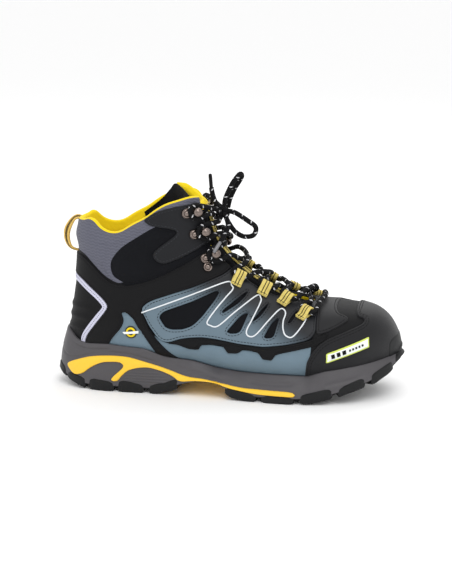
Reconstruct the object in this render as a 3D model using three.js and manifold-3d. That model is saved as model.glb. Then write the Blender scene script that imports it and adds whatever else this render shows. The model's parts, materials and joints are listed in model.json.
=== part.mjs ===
// A lace-up mid-height hiking boot for the right foot, built as separate pieces.
// Millimetres, +Z up, +X towards the toe, -Y the outer (lateral) side of the foot.
import * as THREE from "three";
import { mergeVertices } from "three/addons/utils/BufferGeometryUtils.js";
import Module from "manifold-3d";

const wasm = await Module();
wasm.setup();

// ---------- driving dimensions ----------
const GAP = 0.3; // clearance between pieces that touch
const SKIN = 1.6; // thickness of the base panels of the upper
const OVERLAY = 1.4; // thickness of the panels stitched on top of them
const PADDING = 3; // foam and lining together
const STIFFENER = 1.4; // toe cap and heel counter, which sit in pockets of the lining
const TONGUE_SHELL = 2;
const TONGUE_LINING = 2.6;
const FOOTBED = 4;
const SOLE_WALL = 1.2; // the moulded stabiliser around the midsole
const LACE_D = 4.4;
const LACE_SIDES = 8;
const WEB_T = 1.1; // webbing of the lace loops
const WEB_W = 11;
const LOOP_SPAN = 12; // across a lace loop, from its stitched end to its fold
const PULL_W = 10;
const PULL_T = 1.8;
const HOOK_POST = 1.8; // radius of a hook's post
const HOOK_HEIGHT = 5.2; // from a hook's plate to the underside of its head
const HOOK_HEAD = 3.6; // radius of the head
const HOOK_PLATE = 1.1;
const SHANK = { length: 96, width: 14, thickness: 1.2, x: 62 };
const RINGS = 19; // facets along and around the last
const AROUND = 16;
const WIDE = 95; // longer than any half width, for cutters that cross the whole boot

// layer boundaries, measured out from the surface of the base panels
const OVERLAY_IN = GAP;
const OVERLAY_OUT = GAP + OVERLAY;
const LINING_OUT = -SKIN - GAP;
const LINING_IN = LINING_OUT - PADDING;
const TONGUE_OUT = LINING_IN - GAP;
const TONGUE_MID = TONGUE_OUT - TONGUE_SHELL;
const TONGUE_IN = TONGUE_MID - GAP - TONGUE_LINING;

// ---------- the last: the form that the upper is pulled over ----------
// Each ring runs from a point on the back or bottom line to one on the front or top line.
// back x, z; front x, z; centre y; outer and inner half widths; share of the way to the widest point
const LAST = [
  [18, 200, 122, 206, 0, 33, 32, 0.5],
  [14, 172, 127, 184, 0, 33, 32, 0.5],
  [12.5, 148, 130.5, 167, 0, 32.5, 31.5, 0.5],
  [12, 122, 134, 150, 0, 32, 31, 0.5],
  [10, 100, 140, 134, 1, 33, 31.5, 0.48],
  [7, 80, 150, 121, 1.5, 35, 33, 0.45],
  [4, 60, 164, 108.5, 2, 37, 34, 0.43],
  [3, 43, 180, 97, 2.5, 38.5, 36, 0.42],
  [14, 31, 197, 88, 3, 40, 38, 0.42],
  [50, 27, 214, 82, 3, 42, 40, 0.42],
  [100, 24, 229, 79.5, 3.5, 45, 43.5, 0.42],
  [150, 17, 242, 79, 2.5, 48.5, 47, 0.42],
  [195, 13, 255, 78.5, 3, 49, 47.5, 0.42],
  [230, 13.5, 267, 76.5, 4, 45.5, 45, 0.42],
  [255, 16.5, 278, 72.5, 5, 38.5, 39, 0.43],
  [272, 21, 287, 65, 6.5, 28.5, 30, 0.45],
  [285, 27, 293.5, 54, 8, 17, 18.5, 0.48],
  [292, 33, 296.5, 44, 8, 8, 9, 0.5],
];
const ROUNDNESS = 2.45; // exponent of the rings' superellipse

const curveOf = (pick) =>
  new THREE.CatmullRomCurve3(LAST.map((row) => new THREE.Vector3(...pick(row))), false, "catmullrom", 0.5);
const backLine = curveOf((r) => [r[0], r[4], r[1]]);
const frontLine = curveOf((r) => [r[2], r[4], r[3]]);
const halfWidths = curveOf((r) => [r[5], r[6], r[7]]);

// A point of the last. along runs 0 to 1 from the shaft's top to the toe; angle is 0 at the front line
// and turns through the outer side (-Y).
function lastPoint(along, angle) {
  const back = backLine.getPoint(along);
  const front = frontLine.getPoint(along);
  const { x: outer, y: inner, z: widest } = halfWidths.getPoint(along);
  const c = Math.cos(angle);
  const s = Math.sin(angle);
  const reach = Math.abs(c) ** (2 / ROUNDNESS);
  const share = c >= 0 ? widest + (1 - widest) * reach : widest * (1 - reach);
  const half = s >= 0 ? outer : inner;
  const point = back.lerp(front, share);
  point.y -= Math.sign(s) * half * Math.abs(s) ** (2 / ROUNDNESS);
  return point;
}

function lastNormal(along, angle) {
  const step = 0.004;
  const a0 = Math.max(0, along - step);
  const a1 = Math.min(1, along + step);
  const du = lastPoint(a1, angle).sub(lastPoint(a0, angle));
  const dv = lastPoint(along, angle + 0.02).sub(lastPoint(along, angle - 0.02));
  return du.cross(dv).normalize().negate();
}

// The last as a closed solid, grown outwards by offset (or shrunk, where it is negative).
function lastBody(offset, end = 1) {
  const rings = Math.round(RINGS * end);
  const positions = [];
  const faces = [];
  for (let i = 0; i <= rings; i++) {
    for (let j = 0; j < AROUND; j++) {
      const along = (end * i) / rings;
      const angle = (2 * Math.PI * (j + 0.5)) / AROUND;
      const p = lastPoint(along, angle).addScaledVector(lastNormal(along, angle), offset);
      positions.push(p.x, p.y, p.z);
    }
  }
  const at = (i, j) => i * AROUND + (j % AROUND);
  for (let i = 0; i < rings; i++) {
    for (let j = 0; j < AROUND; j++) {
      faces.push(at(i, j), at(i, j + 1), at(i + 1, j));
      faces.push(at(i, j + 1), at(i + 1, j + 1), at(i + 1, j));
    }
  }
  for (const i of [0, rings]) {
    const centre = new THREE.Vector3();
    for (let j = 0; j < AROUND; j++) {
      centre.add(new THREE.Vector3().fromArray(positions, 3 * at(i, j)).divideScalar(AROUND));
    }
    const n = positions.length / 3;
    positions.push(centre.x, centre.y, centre.z);
    for (let j = 0; j < AROUND; j++) {
      faces.push(...(i ? [at(i, j), at(i, j + 1), n] : [at(i, j + 1), at(i, j), n]));
    }
  }
  return solidOf(meshGeometry(positions, faces));
}

// ---------- helpers ----------
function meshGeometry(positions, faces) {
  return new THREE.BufferGeometry()
    .setAttribute("position", new THREE.Float32BufferAttribute(positions, 3))
    .setIndex(faces);
}

function solidOf(geometry) {
  const bare = geometry.clone();
  bare.deleteAttribute("normal");
  bare.deleteAttribute("uv");
  const merged = mergeVertices(bare, 1e-4);
  const triVerts = new Uint32Array(merged.index.array);
  const mesh = new wasm.Mesh({ numProp: 3, vertProperties: merged.attributes.position.array, triVerts });
  return new wasm.Manifold(mesh);
}

function geometryOf(solid) {
  const mesh = solid.getMesh();
  const positions = [];
  for (let i = 0; i < mesh.numVert; i++) {
    positions.push(...mesh.vertProperties.subarray(i * mesh.numProp, i * mesh.numProp + 3));
  }
  return meshGeometry(positions, [...mesh.triVerts]);
}

// Keeps the main body of a cut piece and leaves the chips that a cutter's edge broke off.
function mainBody(solid) {
  return solid.decompose().reduce((best, body) => (body.volume() > best.volume() ? body : best));
}

const union = (solids) => solids.reduce((sum, solid) => sum.add(solid));
const signedArea = (points) => THREE.ShapeUtils.area(points.map(([x, y]) => new THREE.Vector2(x, y)));

// An outline moved outwards by distance, with mitred corners.
function grow(outline, distance) {
  const turn = Math.sign(signedArea(outline));
  const count = outline.length;
  return outline.map((point, i) => {
    const before = outline[(i + count - 1) % count];
    const after = outline[(i + 1) % count];
    const a = new THREE.Vector2(point[0] - before[0], point[1] - before[1]).normalize();
    const b = new THREE.Vector2(after[0] - point[0], after[1] - point[1]).normalize();
    const mitre = new THREE.Vector2(a.y + b.y, -a.x - b.x);
    const scale = (distance * turn) / Math.max(0.5, mitre.lengthSq() / 2);
    return [point[0] + mitre.x * scale, point[1] + mitre.y * scale];
  });
}

// A side-view outline of x, z points, extruded across the boot from y0 to y1.
function sideCut(outline, y0 = -WIDE, y1 = WIDE) {
  const shape = new THREE.Shape(outline.map(([x, z]) => new THREE.Vector2(x, z)));
  const geometry = new THREE.ExtrudeGeometry(shape, { depth: y1 - y0, bevelEnabled: false });
  return solidOf(geometry.rotateX(Math.PI / 2).translate(0, y1, 0));
}

// A plan outline of x, y points, extruded from z0 up to z1.
function planCut(outline, z0, z1) {
  const shape = new THREE.Shape(outline.map(([x, y]) => new THREE.Vector2(x, y)));
  const geometry = new THREE.ExtrudeGeometry(shape, { depth: z1 - z0, bevelEnabled: false });
  return solidOf(geometry.translate(0, 0, z0));
}

const boot = new THREE.Group();
function addPiece(name, solid, material) {
  const mesh = new THREE.Mesh(geometryOf(mainBody(solid)), material);
  mesh.name = name;
  boot.add(mesh);
  return mesh;
}

const finish = (color, roughness, metalness = 0) => new THREE.MeshStandardMaterial({ color, roughness, metalness });
const BLACK_NUBUCK = finish(0x1b1b1d, 0.75);
const BLACK_TEXTILE = finish(0x15161a, 0.9);
const GREY_TEXTILE = finish(0x5f6068, 0.85);
const BLUE_GREY = finish(0x5b6d78, 0.65);
const YELLOW_LINING = finish(0xf2d90a, 0.9);
const YELLOW_MOULDED = finish(0xf3b321, 0.55);
const GREY_FOAM = finish(0x666468, 0.7);
const RUBBER = finish(0x17181a, 0.8);
const WEBBING = finish(0xe6c35c, 0.8);
const REFLECTIVE = finish(0xb9b8cc, 0.4);
const GUNMETAL = finish(0x6b6462, 0.3, 1);
const LACE = finish(0x1d1d1f, 0.85);
const BOARD = finish(0xc9b48a, 0.9);

// ---------- outlines in side view, x and z ----------
const COLLAR = [
  [-10, 149], [21, 150], [30, 153], [36, 152], [42, 146], [50, 142.5], [58, 143], [68, 149],
  [79, 155], [88, 162], [97, 167], [108, 170.5], [118, 173], [126, 172], [131, 166], [136, 156],
];
const FEATHER = [
  [-10, 38], [14, 35], [50, 31.5], [100, 28.5], [150, 21.5], [195, 17.5], [230, 18], [255, 21],
  [274, 25.5], [290, 31], [315, 40],
];
const aboveCollar = [...COLLAR, [160, 156], [160, 230], [-10, 230]];
const belowFeather = [...FEATHER, [315, -10], [-10, -10]];

const CUFF = [
  [-8, 230], [160, 230], [160, 160], [118, 160], [100, 152], [87, 147], [74, 139], [57, 128],
  [48, 117], [47, 110], [49, 103], [55, 99], [61, 96.5], [51, 97], [40, 103], [29, 113], [21, 120], [-8, 125],
];
const ANKLE_PAD = [
  [61, 96.5], [48, 100], [44, 120], [87, 150], [118, 163], [165, 160], [146, 138], [131, 128],
  [112, 116], [95, 107], [78, 100],
];
const HEEL_PANEL = [
  [-10, 125], [21, 120], [29, 113], [40, 103], [51, 97], [61, 96], [51, 75], [47, 60], [36, 42], [33, 0], [-10, 0],
];
const VAMP = [[222, 110], [227, 70], [226, 56], [221, 0], [320, 0], [320, 110]];
const SIDE_PANEL = [
  [30, 0], [36, 42], [47, 60], [56, 76], [75, 60], [98, 45], [129, 48], [163, 44], [204, 46], [230, 54], [230, 0],
];
const MESH_PANEL = [[45, 60], [50, 120], [150, 160], [240, 110], [240, 40], [98, 40], [75, 55]];

const HEEL_OVERLAY = [
  [-8, 121], [21, 117.5], [30, 110.5], [41, 100.5], [51, 95], [62, 94.5], [78, 98], [95, 105], [112, 114],
  [131, 126], [146, 137], [158, 118], [148, 107], [120, 95], [99, 88], [82, 82], [76, 77.5], [75, 73],
  [80, 61], [89, 49], [103, 35], [116, 27], [116, 0], [88, 0], [90, 34], [79, 50], [72, 60], [66, 70],
  [57, 72], [60, 64], [57, 57], [50, 49], [45, 42], [42, 0], [22, 0], [22, 41], [25, 48], [32, 57],
  [40, 67], [45, 74], [44, 78], [38, 84], [30, 90], [18, 98], [-8, 106],
];
const HEEL_STRIP = [
  [-8, 105.7], [18, 97.7], [29, 90], [38, 83.6], [44, 77.6], [44.6, 74], [39.6, 67], [31.6, 57], [24.6, 48],
  [21.6, 41], [21, 0], [17, 0], [17.5, 42], [20, 49], [27, 58.5], [35, 68.5], [40, 74], [39.5, 76],
  [34, 81], [26, 86.5], [15, 93.5], [-8, 101],
];
const MIDFOOT_BAND = [
  [99, 46], [112, 50.7], [129, 52.7], [142, 51.7], [163, 48.7], [184, 47.7], [204, 50.7], [224, 55.7],
  [240, 62], [236, 55], [225, 50], [198, 43], [195, 42], [192, 37], [184, 37.5], [180, 43],
  [167, 45], [162, 41], [153, 40.5], [148, 47], [138, 47], [129, 46], [127, 42], [118, 42], [109, 45],
];
const QUARTER_FRAME = [
  [75.5, 73], [77, 78], [84, 82.5], [99, 88.5], [120, 95.5], [148, 107.5], [160, 117], [236, 100],
  [230, 74], [229, 62], [224, 56], [204, 51], [184, 48], [163, 49], [142, 52], [129, 53], [112, 51],
  [99, 46.3], [91, 49], [82, 61],
];
const WINDOWS = [
  [[91, 69], [95, 73.5], [120, 83], [141, 92.5], [143, 91], [140, 85], [129, 70], [121, 62], [112, 58.5], [99, 58], [95, 62]],
  [[145, 72], [148, 77], [158, 85], [168, 92], [160, 82]],
  [[151, 58.5], [162, 71.5], [169, 75], [168, 71], [163, 58], [154, 57]],
  [[172, 66], [176, 72], [186, 82], [180, 72]],
  [[184, 56], [190, 67], [196, 71.5], [193, 56], [186, 55]],
  [[204, 66], [206, 71], [212, 77], [208, 69]],
];
const TOE_COVER = [
  [216, 0], [222, 38], [227, 46], [233, 53.5], [240, 57.5], [250, 61.5], [260, 65], [268, 68], [268, 71],
  [261, 73], [259, 100], [320, 100], [320, 0],
];
const VAMP_OVERLAY = [
  [229, 61], [233, 60.5], [240, 63], [249, 67], [255, 70.5], [254, 73], [244, 75.5], [238, 90], [215, 110],
  [228, 76],
];
const HOOK_STAY = [
  [79, 151], [78, 154], [80, 157], [87, 162], [97, 166], [112, 169], [124, 170], [128, 168], [150, 160],
  [150, 142], [131, 132.5], [121, 126], [107, 119], [97, 115], [92, 115], [87, 118], [85, 122],
  [87, 126], [97, 134], [105, 140], [106, 143], [103, 145], [89, 147], [83, 148],
];
const TOE_LABEL = [[238, 45], [272, 57.5], [272.5, 49], [238, 36.5]];
const BADGE = { x: 66, z: 54, radius: 5.5 };
const TOE_CAP = [[250, 36], [320, 36], [320, 110], [247, 110]];
const HEEL_COUNTER = [[-10, 36], [58, 36], [66, 60], [50, 80], [20, 92], [-10, 92]];

// ---------- upper ----------
// The throat: the long opening that the tongue closes, in plan.
const THROAT = [
  [117, -17], [150, -16.5], [185, -14.5], [212, -11], [221, -6], [223, 3], [221, 12], [212, 18],
  [185, 20], [150, 19], [117, 17],
];
const ABOVE_FOOTBED = 52; // cutters from above stop here, inside the boot
const TOP = 230;
const throat = planCut(THROAT, ABOVE_FOOTBED, TOP);
const overCollar = sideCut(aboveCollar);

function upperLayer(inner, outer) {
  return lastBody(outer).subtract(lastBody(inner)).subtract(overCollar).subtract(throat);
}

// Cuts named panels out of a layer one after another, each leaving GAP to the next.
function cutPanels(layer, panels) {
  let rest = layer;
  for (const { name, outline, y0 = -WIDE, y1 = WIDE, holes = [], material } of panels) {
    let piece = rest.intersect(sideCut(outline, y0, y1));
    for (const hole of holes) piece = piece.subtract(sideCut(hole, y0, y1));
    addPiece(name, piece, material);
    rest = rest.subtract(sideCut(grow(outline, GAP), y0 - GAP, y1 + GAP));
  }
  return rest;
}

const bothSides = (name, outline, material, holes) => [
  { name: `${name}_outer`, outline, y0: -WIDE, y1: 0, holes, material },
  { name: `${name}_inner`, outline, y0: 0, y1: WIDE, holes, material },
];

const sole = sideCut(belowFeather);
const skin = upperLayer(-SKIN, 0);
cutPanels(skin.subtract(sideCut(grow(belowFeather, GAP))), [
  { name: "collar_cuff", outline: CUFF, material: GREY_TEXTILE },
  { name: "heel_panel", outline: HEEL_PANEL, material: BLACK_NUBUCK },
  { name: "vamp", outline: VAMP, material: BLACK_NUBUCK },
  ...bothSides("ankle_pad", ANKLE_PAD, BLACK_TEXTILE),
  ...bothSides("side_panel", SIDE_PANEL, BLUE_GREY),
  ...bothSides("mesh_panel", MESH_PANEL, BLACK_TEXTILE),
]);
addPiece("insole_board", skin.intersect(sole), BOARD);

const overlayLayer = upperLayer(OVERLAY_IN, OVERLAY_OUT).subtract(sole);
cutPanels(overlayLayer, [
  { name: "heel_reflective_strip", outline: HEEL_STRIP, material: REFLECTIVE },
  { name: "heel_overlay", outline: HEEL_OVERLAY, material: BLACK_NUBUCK },
  { name: "toe_cover", outline: TOE_COVER, material: BLACK_NUBUCK },
  { name: "vamp_overlay", outline: VAMP_OVERLAY, material: BLACK_NUBUCK },
  ...bothSides("midfoot_band", MIDFOOT_BAND, BLACK_NUBUCK),
  ...bothSides("quarter_frame", QUARTER_FRAME, BLUE_GREY, WINDOWS),
  ...bothSides("hook_stay", HOOK_STAY, BLACK_NUBUCK),
]);

const labelLayer = lastBody(OVERLAY_OUT + GAP + 0.8).subtract(lastBody(OVERLAY_OUT + GAP));
addPiece("toe_label", labelLayer.intersect(sideCut(TOE_LABEL, -WIDE, 0)), REFLECTIVE);
const badgeOutline = new THREE.EllipseCurve(BADGE.x, BADGE.z, BADGE.radius, BADGE.radius)
  .getPoints(16)
  .slice(0, -1)
  .map((p) => [p.x, p.y]);
const badgeLayer = lastBody(GAP + 0.9).subtract(lastBody(GAP));
addPiece("heel_badge", badgeLayer.intersect(sideCut(badgeOutline, -WIDE, 0)), YELLOW_MOULDED);

// ---------- inside the upper ----------
const liningBody = upperLayer(LINING_IN, LINING_OUT);
const pocketLayer = lastBody(0).subtract(lastBody(LINING_OUT - STIFFENER - GAP));
const pockets = union([TOE_CAP, HEEL_COUNTER].map((outline) => sideCut(grow(outline, GAP))));
addPiece("lining", liningBody.subtract(pocketLayer.intersect(pockets)), YELLOW_LINING);
const stiffenerLayer = lastBody(LINING_OUT).subtract(lastBody(LINING_OUT - STIFFENER));
addPiece("toe_cap", stiffenerLayer.intersect(sideCut(TOE_CAP)), GUNMETAL);
addPiece("heel_counter", stiffenerLayer.intersect(sideCut(HEEL_COUNTER)), BOARD);

const FOOTBED_RISE = FOOTBED + SKIN + PADDING + 2 * GAP; // above the last's bottom line
const bottomPoints = LAST.slice(7).map((row) => [row[0], row[1] + FOOTBED_RISE]);
const footbedTop = [[-20, 60], ...bottomPoints, [320, 60], [320, -10], [-20, -10]];
addPiece("footbed", lastBody(LINING_IN - GAP).intersect(sideCut(footbedTop)), BLACK_TEXTILE);

// ---------- tongue ----------
const TONGUE = [
  [113, -23], [150, -22.5], [185, -19.5], [217, -14], [220, 3], [217, 19], [185, 25], [150, 25], [113, 23],
];
const TONGUE_TOP = 178;
const tongueCut = planCut(TONGUE, ABOVE_FOOTBED, TONGUE_TOP);
const inTongue = (outer, inner) => lastBody(outer).intersect(tongueCut).subtract(lastBody(inner, 0.8));
addPiece("tongue", inTongue(TONGUE_OUT, TONGUE_MID), BLACK_TEXTILE);
addPiece("tongue_lining", inTongue(TONGUE_MID - 1.5 * GAP, TONGUE_IN), YELLOW_LINING);
const KEEPER = [[128, -4], [205, -3], [205, 7], [128, 4]];
const keeperLayer = lastBody(TONGUE_OUT + GAP + 1).subtract(lastBody(TONGUE_OUT + GAP));
addPiece("tongue_webbing", keeperLayer.intersect(planCut(KEEPER, ABOVE_FOOTBED, 165)), WEBBING);

// ---------- sole ----------
const SOLE_EDGE = [
  [-7, 0], [-4, -14], [6, -26], [22, -34.5], [45, -38.5], [80, -39.5], [110, -42], [150, -46.5], [195, -51],
  [225, -50.5], [250, -45], [272, -34.5], [288, -20.5], [297, -6], [300, 6], [297, 18], [288, 30.5],
  [272, 41], [250, 48.5], [225, 52.5], [195, 53], [160, 49], [120, 42.5], [80, 39], [45, 37.5], [22, 33.5],
  [6, 25], [-4, 14],
];
const SOLE_LINE = [
  [-8, 18.5], [4, 12.5], [20, 9], [98, 9], [110, 12], [125, 14.5], [143, 14], [153, 10], [178, 6.5], [212, 6],
  [224, 7], [244, 10.5], [256, 14], [270, 18], [280, 22], [290, 28], [305, 39],
];
const FOXING = [
  [305, 41], [291, 36], [273, 33.5], [254, 31], [235, 28], [221, 22.5], [205, 23], [163, 23], [142, 25],
  [120, 31], [108, 31.5], [95, 33.5], [78, 40], [56, 41], [45, 42], [22, 40], [14, 42], [8, 48], [1, 51],
  [-3, 40], [-8, 24],
];
const BUMPER_T = 2.4;
const BUMPER = [[287, 51], [294, 53.5], [315, 54], [315, 10], [268, 10], [278, 24], [284, 34], [286, 44]];
const STABILISER = [
  [4, 19], [8, 22.5], [25, 29], [38, 31.5], [53, 32.5], [65, 32], [82, 28], [99, 22.5], [116, 17.5], [132, 17],
  [164, 11.3], [211, 10.5], [214, 6.3], [178, 6.9], [153, 10.4], [143, 14.4], [125, 14.9], [110, 12.4],
  [104, 17], [93, 21], [82, 24], [72, 23], [63, 20], [57, 14], [54, 9.4], [47, 9.4], [50, 14], [57, 20],
  [60, 24], [57, 27], [51, 27], [40, 26], [29, 20.5], [21, 13.5], [12, 11],
];
const ARCH = [100, 160]; // where the stabiliser crosses under the foot
const ARCH_T = 2.2;
const HEEL_GROUND = [[-8, 12.5], [4, 6.5], [20, 1.5], [26, 0], [88, 0], [108, 5]];
const FRONT_GROUND = [
  [150, 5], [158, 1.2], [180, 0], [212, 0], [224, 1.2], [244, 5], [256, 9], [270, 13], [280, 16.5], [290, 22],
  [304, 32],
];
const TREAD = 3.6; // depth of the lugs
const LUG_W = 17;
const HEEL_LUGS = [[-8, 2.5], [4.5, 23.5], [27, 50.5], [54, 77], [82, 109]];
const FRONT_LUGS = [[150, 178.5], [183, 211.5], [217, 244], [249, 271], [276, 303]];

const curved = (points, count) =>
  new THREE.CatmullRomCurve3(points.map(([x, y]) => new THREE.Vector3(x, y, 0)), true)
    .getPoints(count)
    .slice(0, -1)
    .map((p) => [p.x, p.y]);
const soleEdge = curved(SOLE_EDGE, 44);
const lineAt = (line, x) => {
  const i = Math.max(1, line.findIndex((p) => p[0] >= x));
  const [x0, z0] = line[i - 1];
  const [x1, z1] = line[i];
  return z0 + ((x - x0) * (z1 - z0)) / (x1 - x0);
};
const shift = (line, dz) => line.map(([x, z]) => [x, z + dz]);
// The solid between two side-view lines, from x0 to x1.
function between(low, high, x0, x1) {
  const part = (line) => [
    [x0, lineAt(line, x0)],
    ...line.filter(([x]) => x > x0 && x < x1),
    [x1, lineAt(line, x1)],
  ];
  return sideCut([...part(low), ...part(high).reverse()]);
}

const soleBlock = planCut(soleEdge, -5, 70);
const wallRing = (inset) => planCut(grow(soleEdge, 3), -5, 70).subtract(planCut(grow(soleEdge, -inset), -6, 71));
const archPlate = between(SOLE_LINE, shift(SOLE_LINE, ARCH_T), ...ARCH).intersect(soleBlock);
const bumperLayer = lastBody(OVERLAY_OUT + GAP + BUMPER_T).subtract(lastBody(OVERLAY_OUT + GAP));
addPiece("toe_bumper", bumperLayer.intersect(sideCut(BUMPER)), RUBBER);

const shankBox = (g) =>
  planCut([[SHANK.x - g, 2 - SHANK.width / 2 - g], [SHANK.x + SHANK.length + g, 2 - SHANK.width / 2 - g],
    [SHANK.x + SHANK.length + g, 2 + SHANK.width / 2 + g], [SHANK.x - g, 2 + SHANK.width / 2 + g]], -5, 40);
const shankLayer = (depth) => lastBody(depth).subtract(lastBody(GAP));
addPiece("shank", shankLayer(GAP + SHANK.thickness).intersect(shankBox(0)), GUNMETAL);

const upperWall = lastBody(OVERLAY_OUT + GAP).subtract(sideCut(shift(belowFeather, -GAP)));
let midsole = soleBlock.intersect(sideCut([...SOLE_LINE, ...FOXING])).subtract(lastBody(GAP)).subtract(upperWall);
midsole = midsole.subtract(lastBody(OVERLAY_OUT + 2 * GAP + BUMPER_T).intersect(sideCut(grow(BUMPER, GAP))));
midsole = midsole.subtract(lastBody(2 * GAP + SHANK.thickness).intersect(shankBox(GAP)));
midsole = midsole.subtract(wallRing(SOLE_WALL + GAP).intersect(sideCut(grow(STABILISER, GAP))));
midsole = midsole.subtract(between(shift(SOLE_LINE, -2), shift(SOLE_LINE, ARCH_T + GAP), ARCH[0] - GAP, ARCH[1] + GAP));
addPiece("midsole", midsole, GREY_FOAM);
const stabiliserWall = wallRing(SOLE_WALL).intersect(soleBlock).intersect(sideCut(STABILISER));
addPiece("arch_stabiliser", stabiliserWall.add(archPlate), YELLOW_MOULDED);

// A rubber outsole: a web under the midsole with lugs down to the ground line.
function outsole(ground, lugs, x0, x1) {
  const edge = planCut(grow(soleEdge, 0.8), -5, 60);
  const top = shift(SOLE_LINE, -GAP);
  const web = between(shift(ground, TREAD), top, x0, x1).intersect(edge);
  const full = between(ground, top, x0, x1).intersect(edge);
  const blocks = lugs.flatMap(([a, b]) => {
    const mid = (a + b) / 2;
    const reach = Math.abs(lineAt([[-8, 16], [10, 30], [60, 39], [200, 52], [250, 47], [305, 18]], mid));
    const rim = reach - LUG_W;
    const side = (y) => [[a, y * 70], [b, y * 70], [b - 3, y * rim], [a - 1, y * rim]];
    const w = rim - 6;
    const centre = [[a + 2, -w], [b - 5, -w], [b, 0], [b - 5, w], [a + 2, w], [a + 7, 0]];
    return [side(-1), side(1), ...(w > 5 ? [centre] : [])].map((outline) => planCut(outline, -6, 60));
  });
  const bumperSpace = lastBody(OVERLAY_OUT + 2 * GAP + BUMPER_T).intersect(sideCut(grow(BUMPER, GAP)));
  return web.add(full.intersect(union(blocks))).subtract(bumperSpace);
}
addPiece("outsole_heel", outsole(HEEL_GROUND, HEEL_LUGS, -7.8, 108), RUBBER);
addPiece("outsole_forefoot", outsole(FRONT_GROUND, FRONT_LUGS, 150, 302), RUBBER);

// ---------- places on the upper ----------
// Finds the last's (along, angle) that a side-view point falls on; side is 1 for outer and -1 for inner.
function findPlace(x, z, side) {
  let best = { along: 0.5, angle: 1, miss: Infinity };
  for (let step = 0.02, span = 25; step > 0.0002; step /= 4, span = 4) {
    const { along: a0, angle: b0 } = best;
    for (let i = -span; i <= span; i++) {
      for (let j = -span; j <= span; j++) {
        const along = THREE.MathUtils.clamp(a0 + i * step, 0, 1);
        const angle = THREE.MathUtils.clamp(b0 + j * step * 2.4, 0, 1.9);
        const p = lastPoint(along, angle * side);
        const miss = Math.hypot(p.x - x, p.z - z);
        if (miss < best.miss) best = { along, angle, miss };
      }
    }
  }
  return { along: best.along, angle: best.angle * side };
}

// The places of a row of side-view points on one side, each with the direction that its row runs in.
function rowPlaces(list, side) {
  const places = list.map(([x, z]) => findPlace(x, z, side));
  const at = (i) => {
    const { along, angle } = places[THREE.MathUtils.clamp(i, 0, list.length - 1)];
    return lastPoint(along, angle);
  };
  return places.map((place, i) => ({ ...place, row: at(i - 1).sub(at(i + 1)) }));
}

// A local frame at a place: x across the surface to the throat, y along it, z out of it. Where the place
// is in a row, x is square to the row.
function frameAt({ along, angle, row }, offset) {
  const out = lastNormal(along, angle);
  const side = Math.sign(angle);
  let up = lastPoint(along, angle - side * 0.03).sub(lastPoint(along, angle));
  if (row) {
    const square = out.clone().cross(row);
    up = square.multiplyScalar(Math.sign(square.dot(up)));
  }
  up.addScaledVector(out, -up.dot(out)).normalize();
  const origin = lastPoint(along, angle).addScaledVector(out, offset);
  const across = out.clone().cross(up);
  return new THREE.Matrix4().makeBasis(up, across, out).setPosition(origin);
}

const LOOP_PLACES = [[220, 74], [200, 83], [180, 92.5], [158, 103.5]];
const HOOK_PLACES = [[136, 121], [126, 142], [120, 160]];
const SIDES = { outer: 1, inner: -1 };
const SEAT = OVERLAY_OUT + GAP;
const placesOf = {
  loop: (side) => rowPlaces(LOOP_PLACES, side),
  hook: (side) => HOOK_PLACES.map(([x, z]) => findPlace(x, z, side)),
};

// ---------- lace ----------
// A curve through given points, which ExtrudeGeometry samples at exactly those points.
class Route extends THREE.Curve {
  constructor(points) {
    super();
    this.points = points;
  }
  getPoint(t) {
    const last = this.points.length - 1;
    const i = Math.min(last - 1, Math.floor(t * last + 1e-6));
    return this.points[i].clone().lerp(this.points[i + 1], t * last - i);
  }
  getPointAt(t) {
    return this.getPoint(t);
  }
  getTangentAt(t) {
    const h = 0.5 / (this.points.length - 1);
    return this.getPoint(Math.min(1, t + h)).sub(this.getPoint(Math.max(0, t - h))).normalize();
  }
}

function cord(points, diameter, sides = LACE_SIDES) {
  const circle = new THREE.Shape();
  for (let i = 0; i < sides; i++) {
    const a = (2 * Math.PI * i) / sides;
    const [x, y] = [(Math.cos(a) * diameter) / 2, (Math.sin(a) * diameter) / 2];
    if (i) circle.lineTo(x, y);
    else circle.moveTo(x, y);
  }
  const extrudePath = new Route(points);
  return solidOf(new THREE.ExtrudeGeometry(circle, { extrudePath, steps: points.length - 1, bevelEnabled: false }));
}

const LOOP_RISE = LACE_D / 2 + GAP + WEB_T; // from a loop's seat to the lace inside it
const HOOK_RISE = HOOK_PLATE + GAP + LACE_D / 2;
const local = (frame, x, y, z) => new THREE.Vector3(x, y, z).applyMatrix4(frame);
const end = WEB_W / 2 + 1.2;
const throughLoop = (frame, side, down) => {
  const toe = local(frame, 0, -side * end, LOOP_RISE);
  const ankle = local(frame, 0, side * end, LOOP_RISE);
  return down ? [ankle, toe] : [toe, ankle];
};
const HOOK_TURN = 5.4;
const aroundHook = (frame, side, down) => {
  const turn = [-1, 0, 1].map((k) => {
    const x = k ? -0.6 : -HOOK_TURN;
    return local(frame, x, k * side * 6, HOOK_RISE);
  });
  return down ? turn.reverse() : turn;
};

// Points across the throat from one place to another, following the form at a height in the middle.
function crossing(from, to, middle, edge, count = 3) {
  const points = [];
  for (let i = 1; i <= count; i++) {
    const f = i / (count + 1);
    const along = THREE.MathUtils.lerp(from.along, to.along, f);
    const angle = THREE.MathUtils.lerp(from.angle, to.angle, f);
    const rise = THREE.MathUtils.lerp(edge, middle, Math.sin(Math.PI * f) ** 4);
    points.push(lastPoint(along, angle).addScaledVector(lastNormal(along, angle), rise));
  }
  return points;
}

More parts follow.
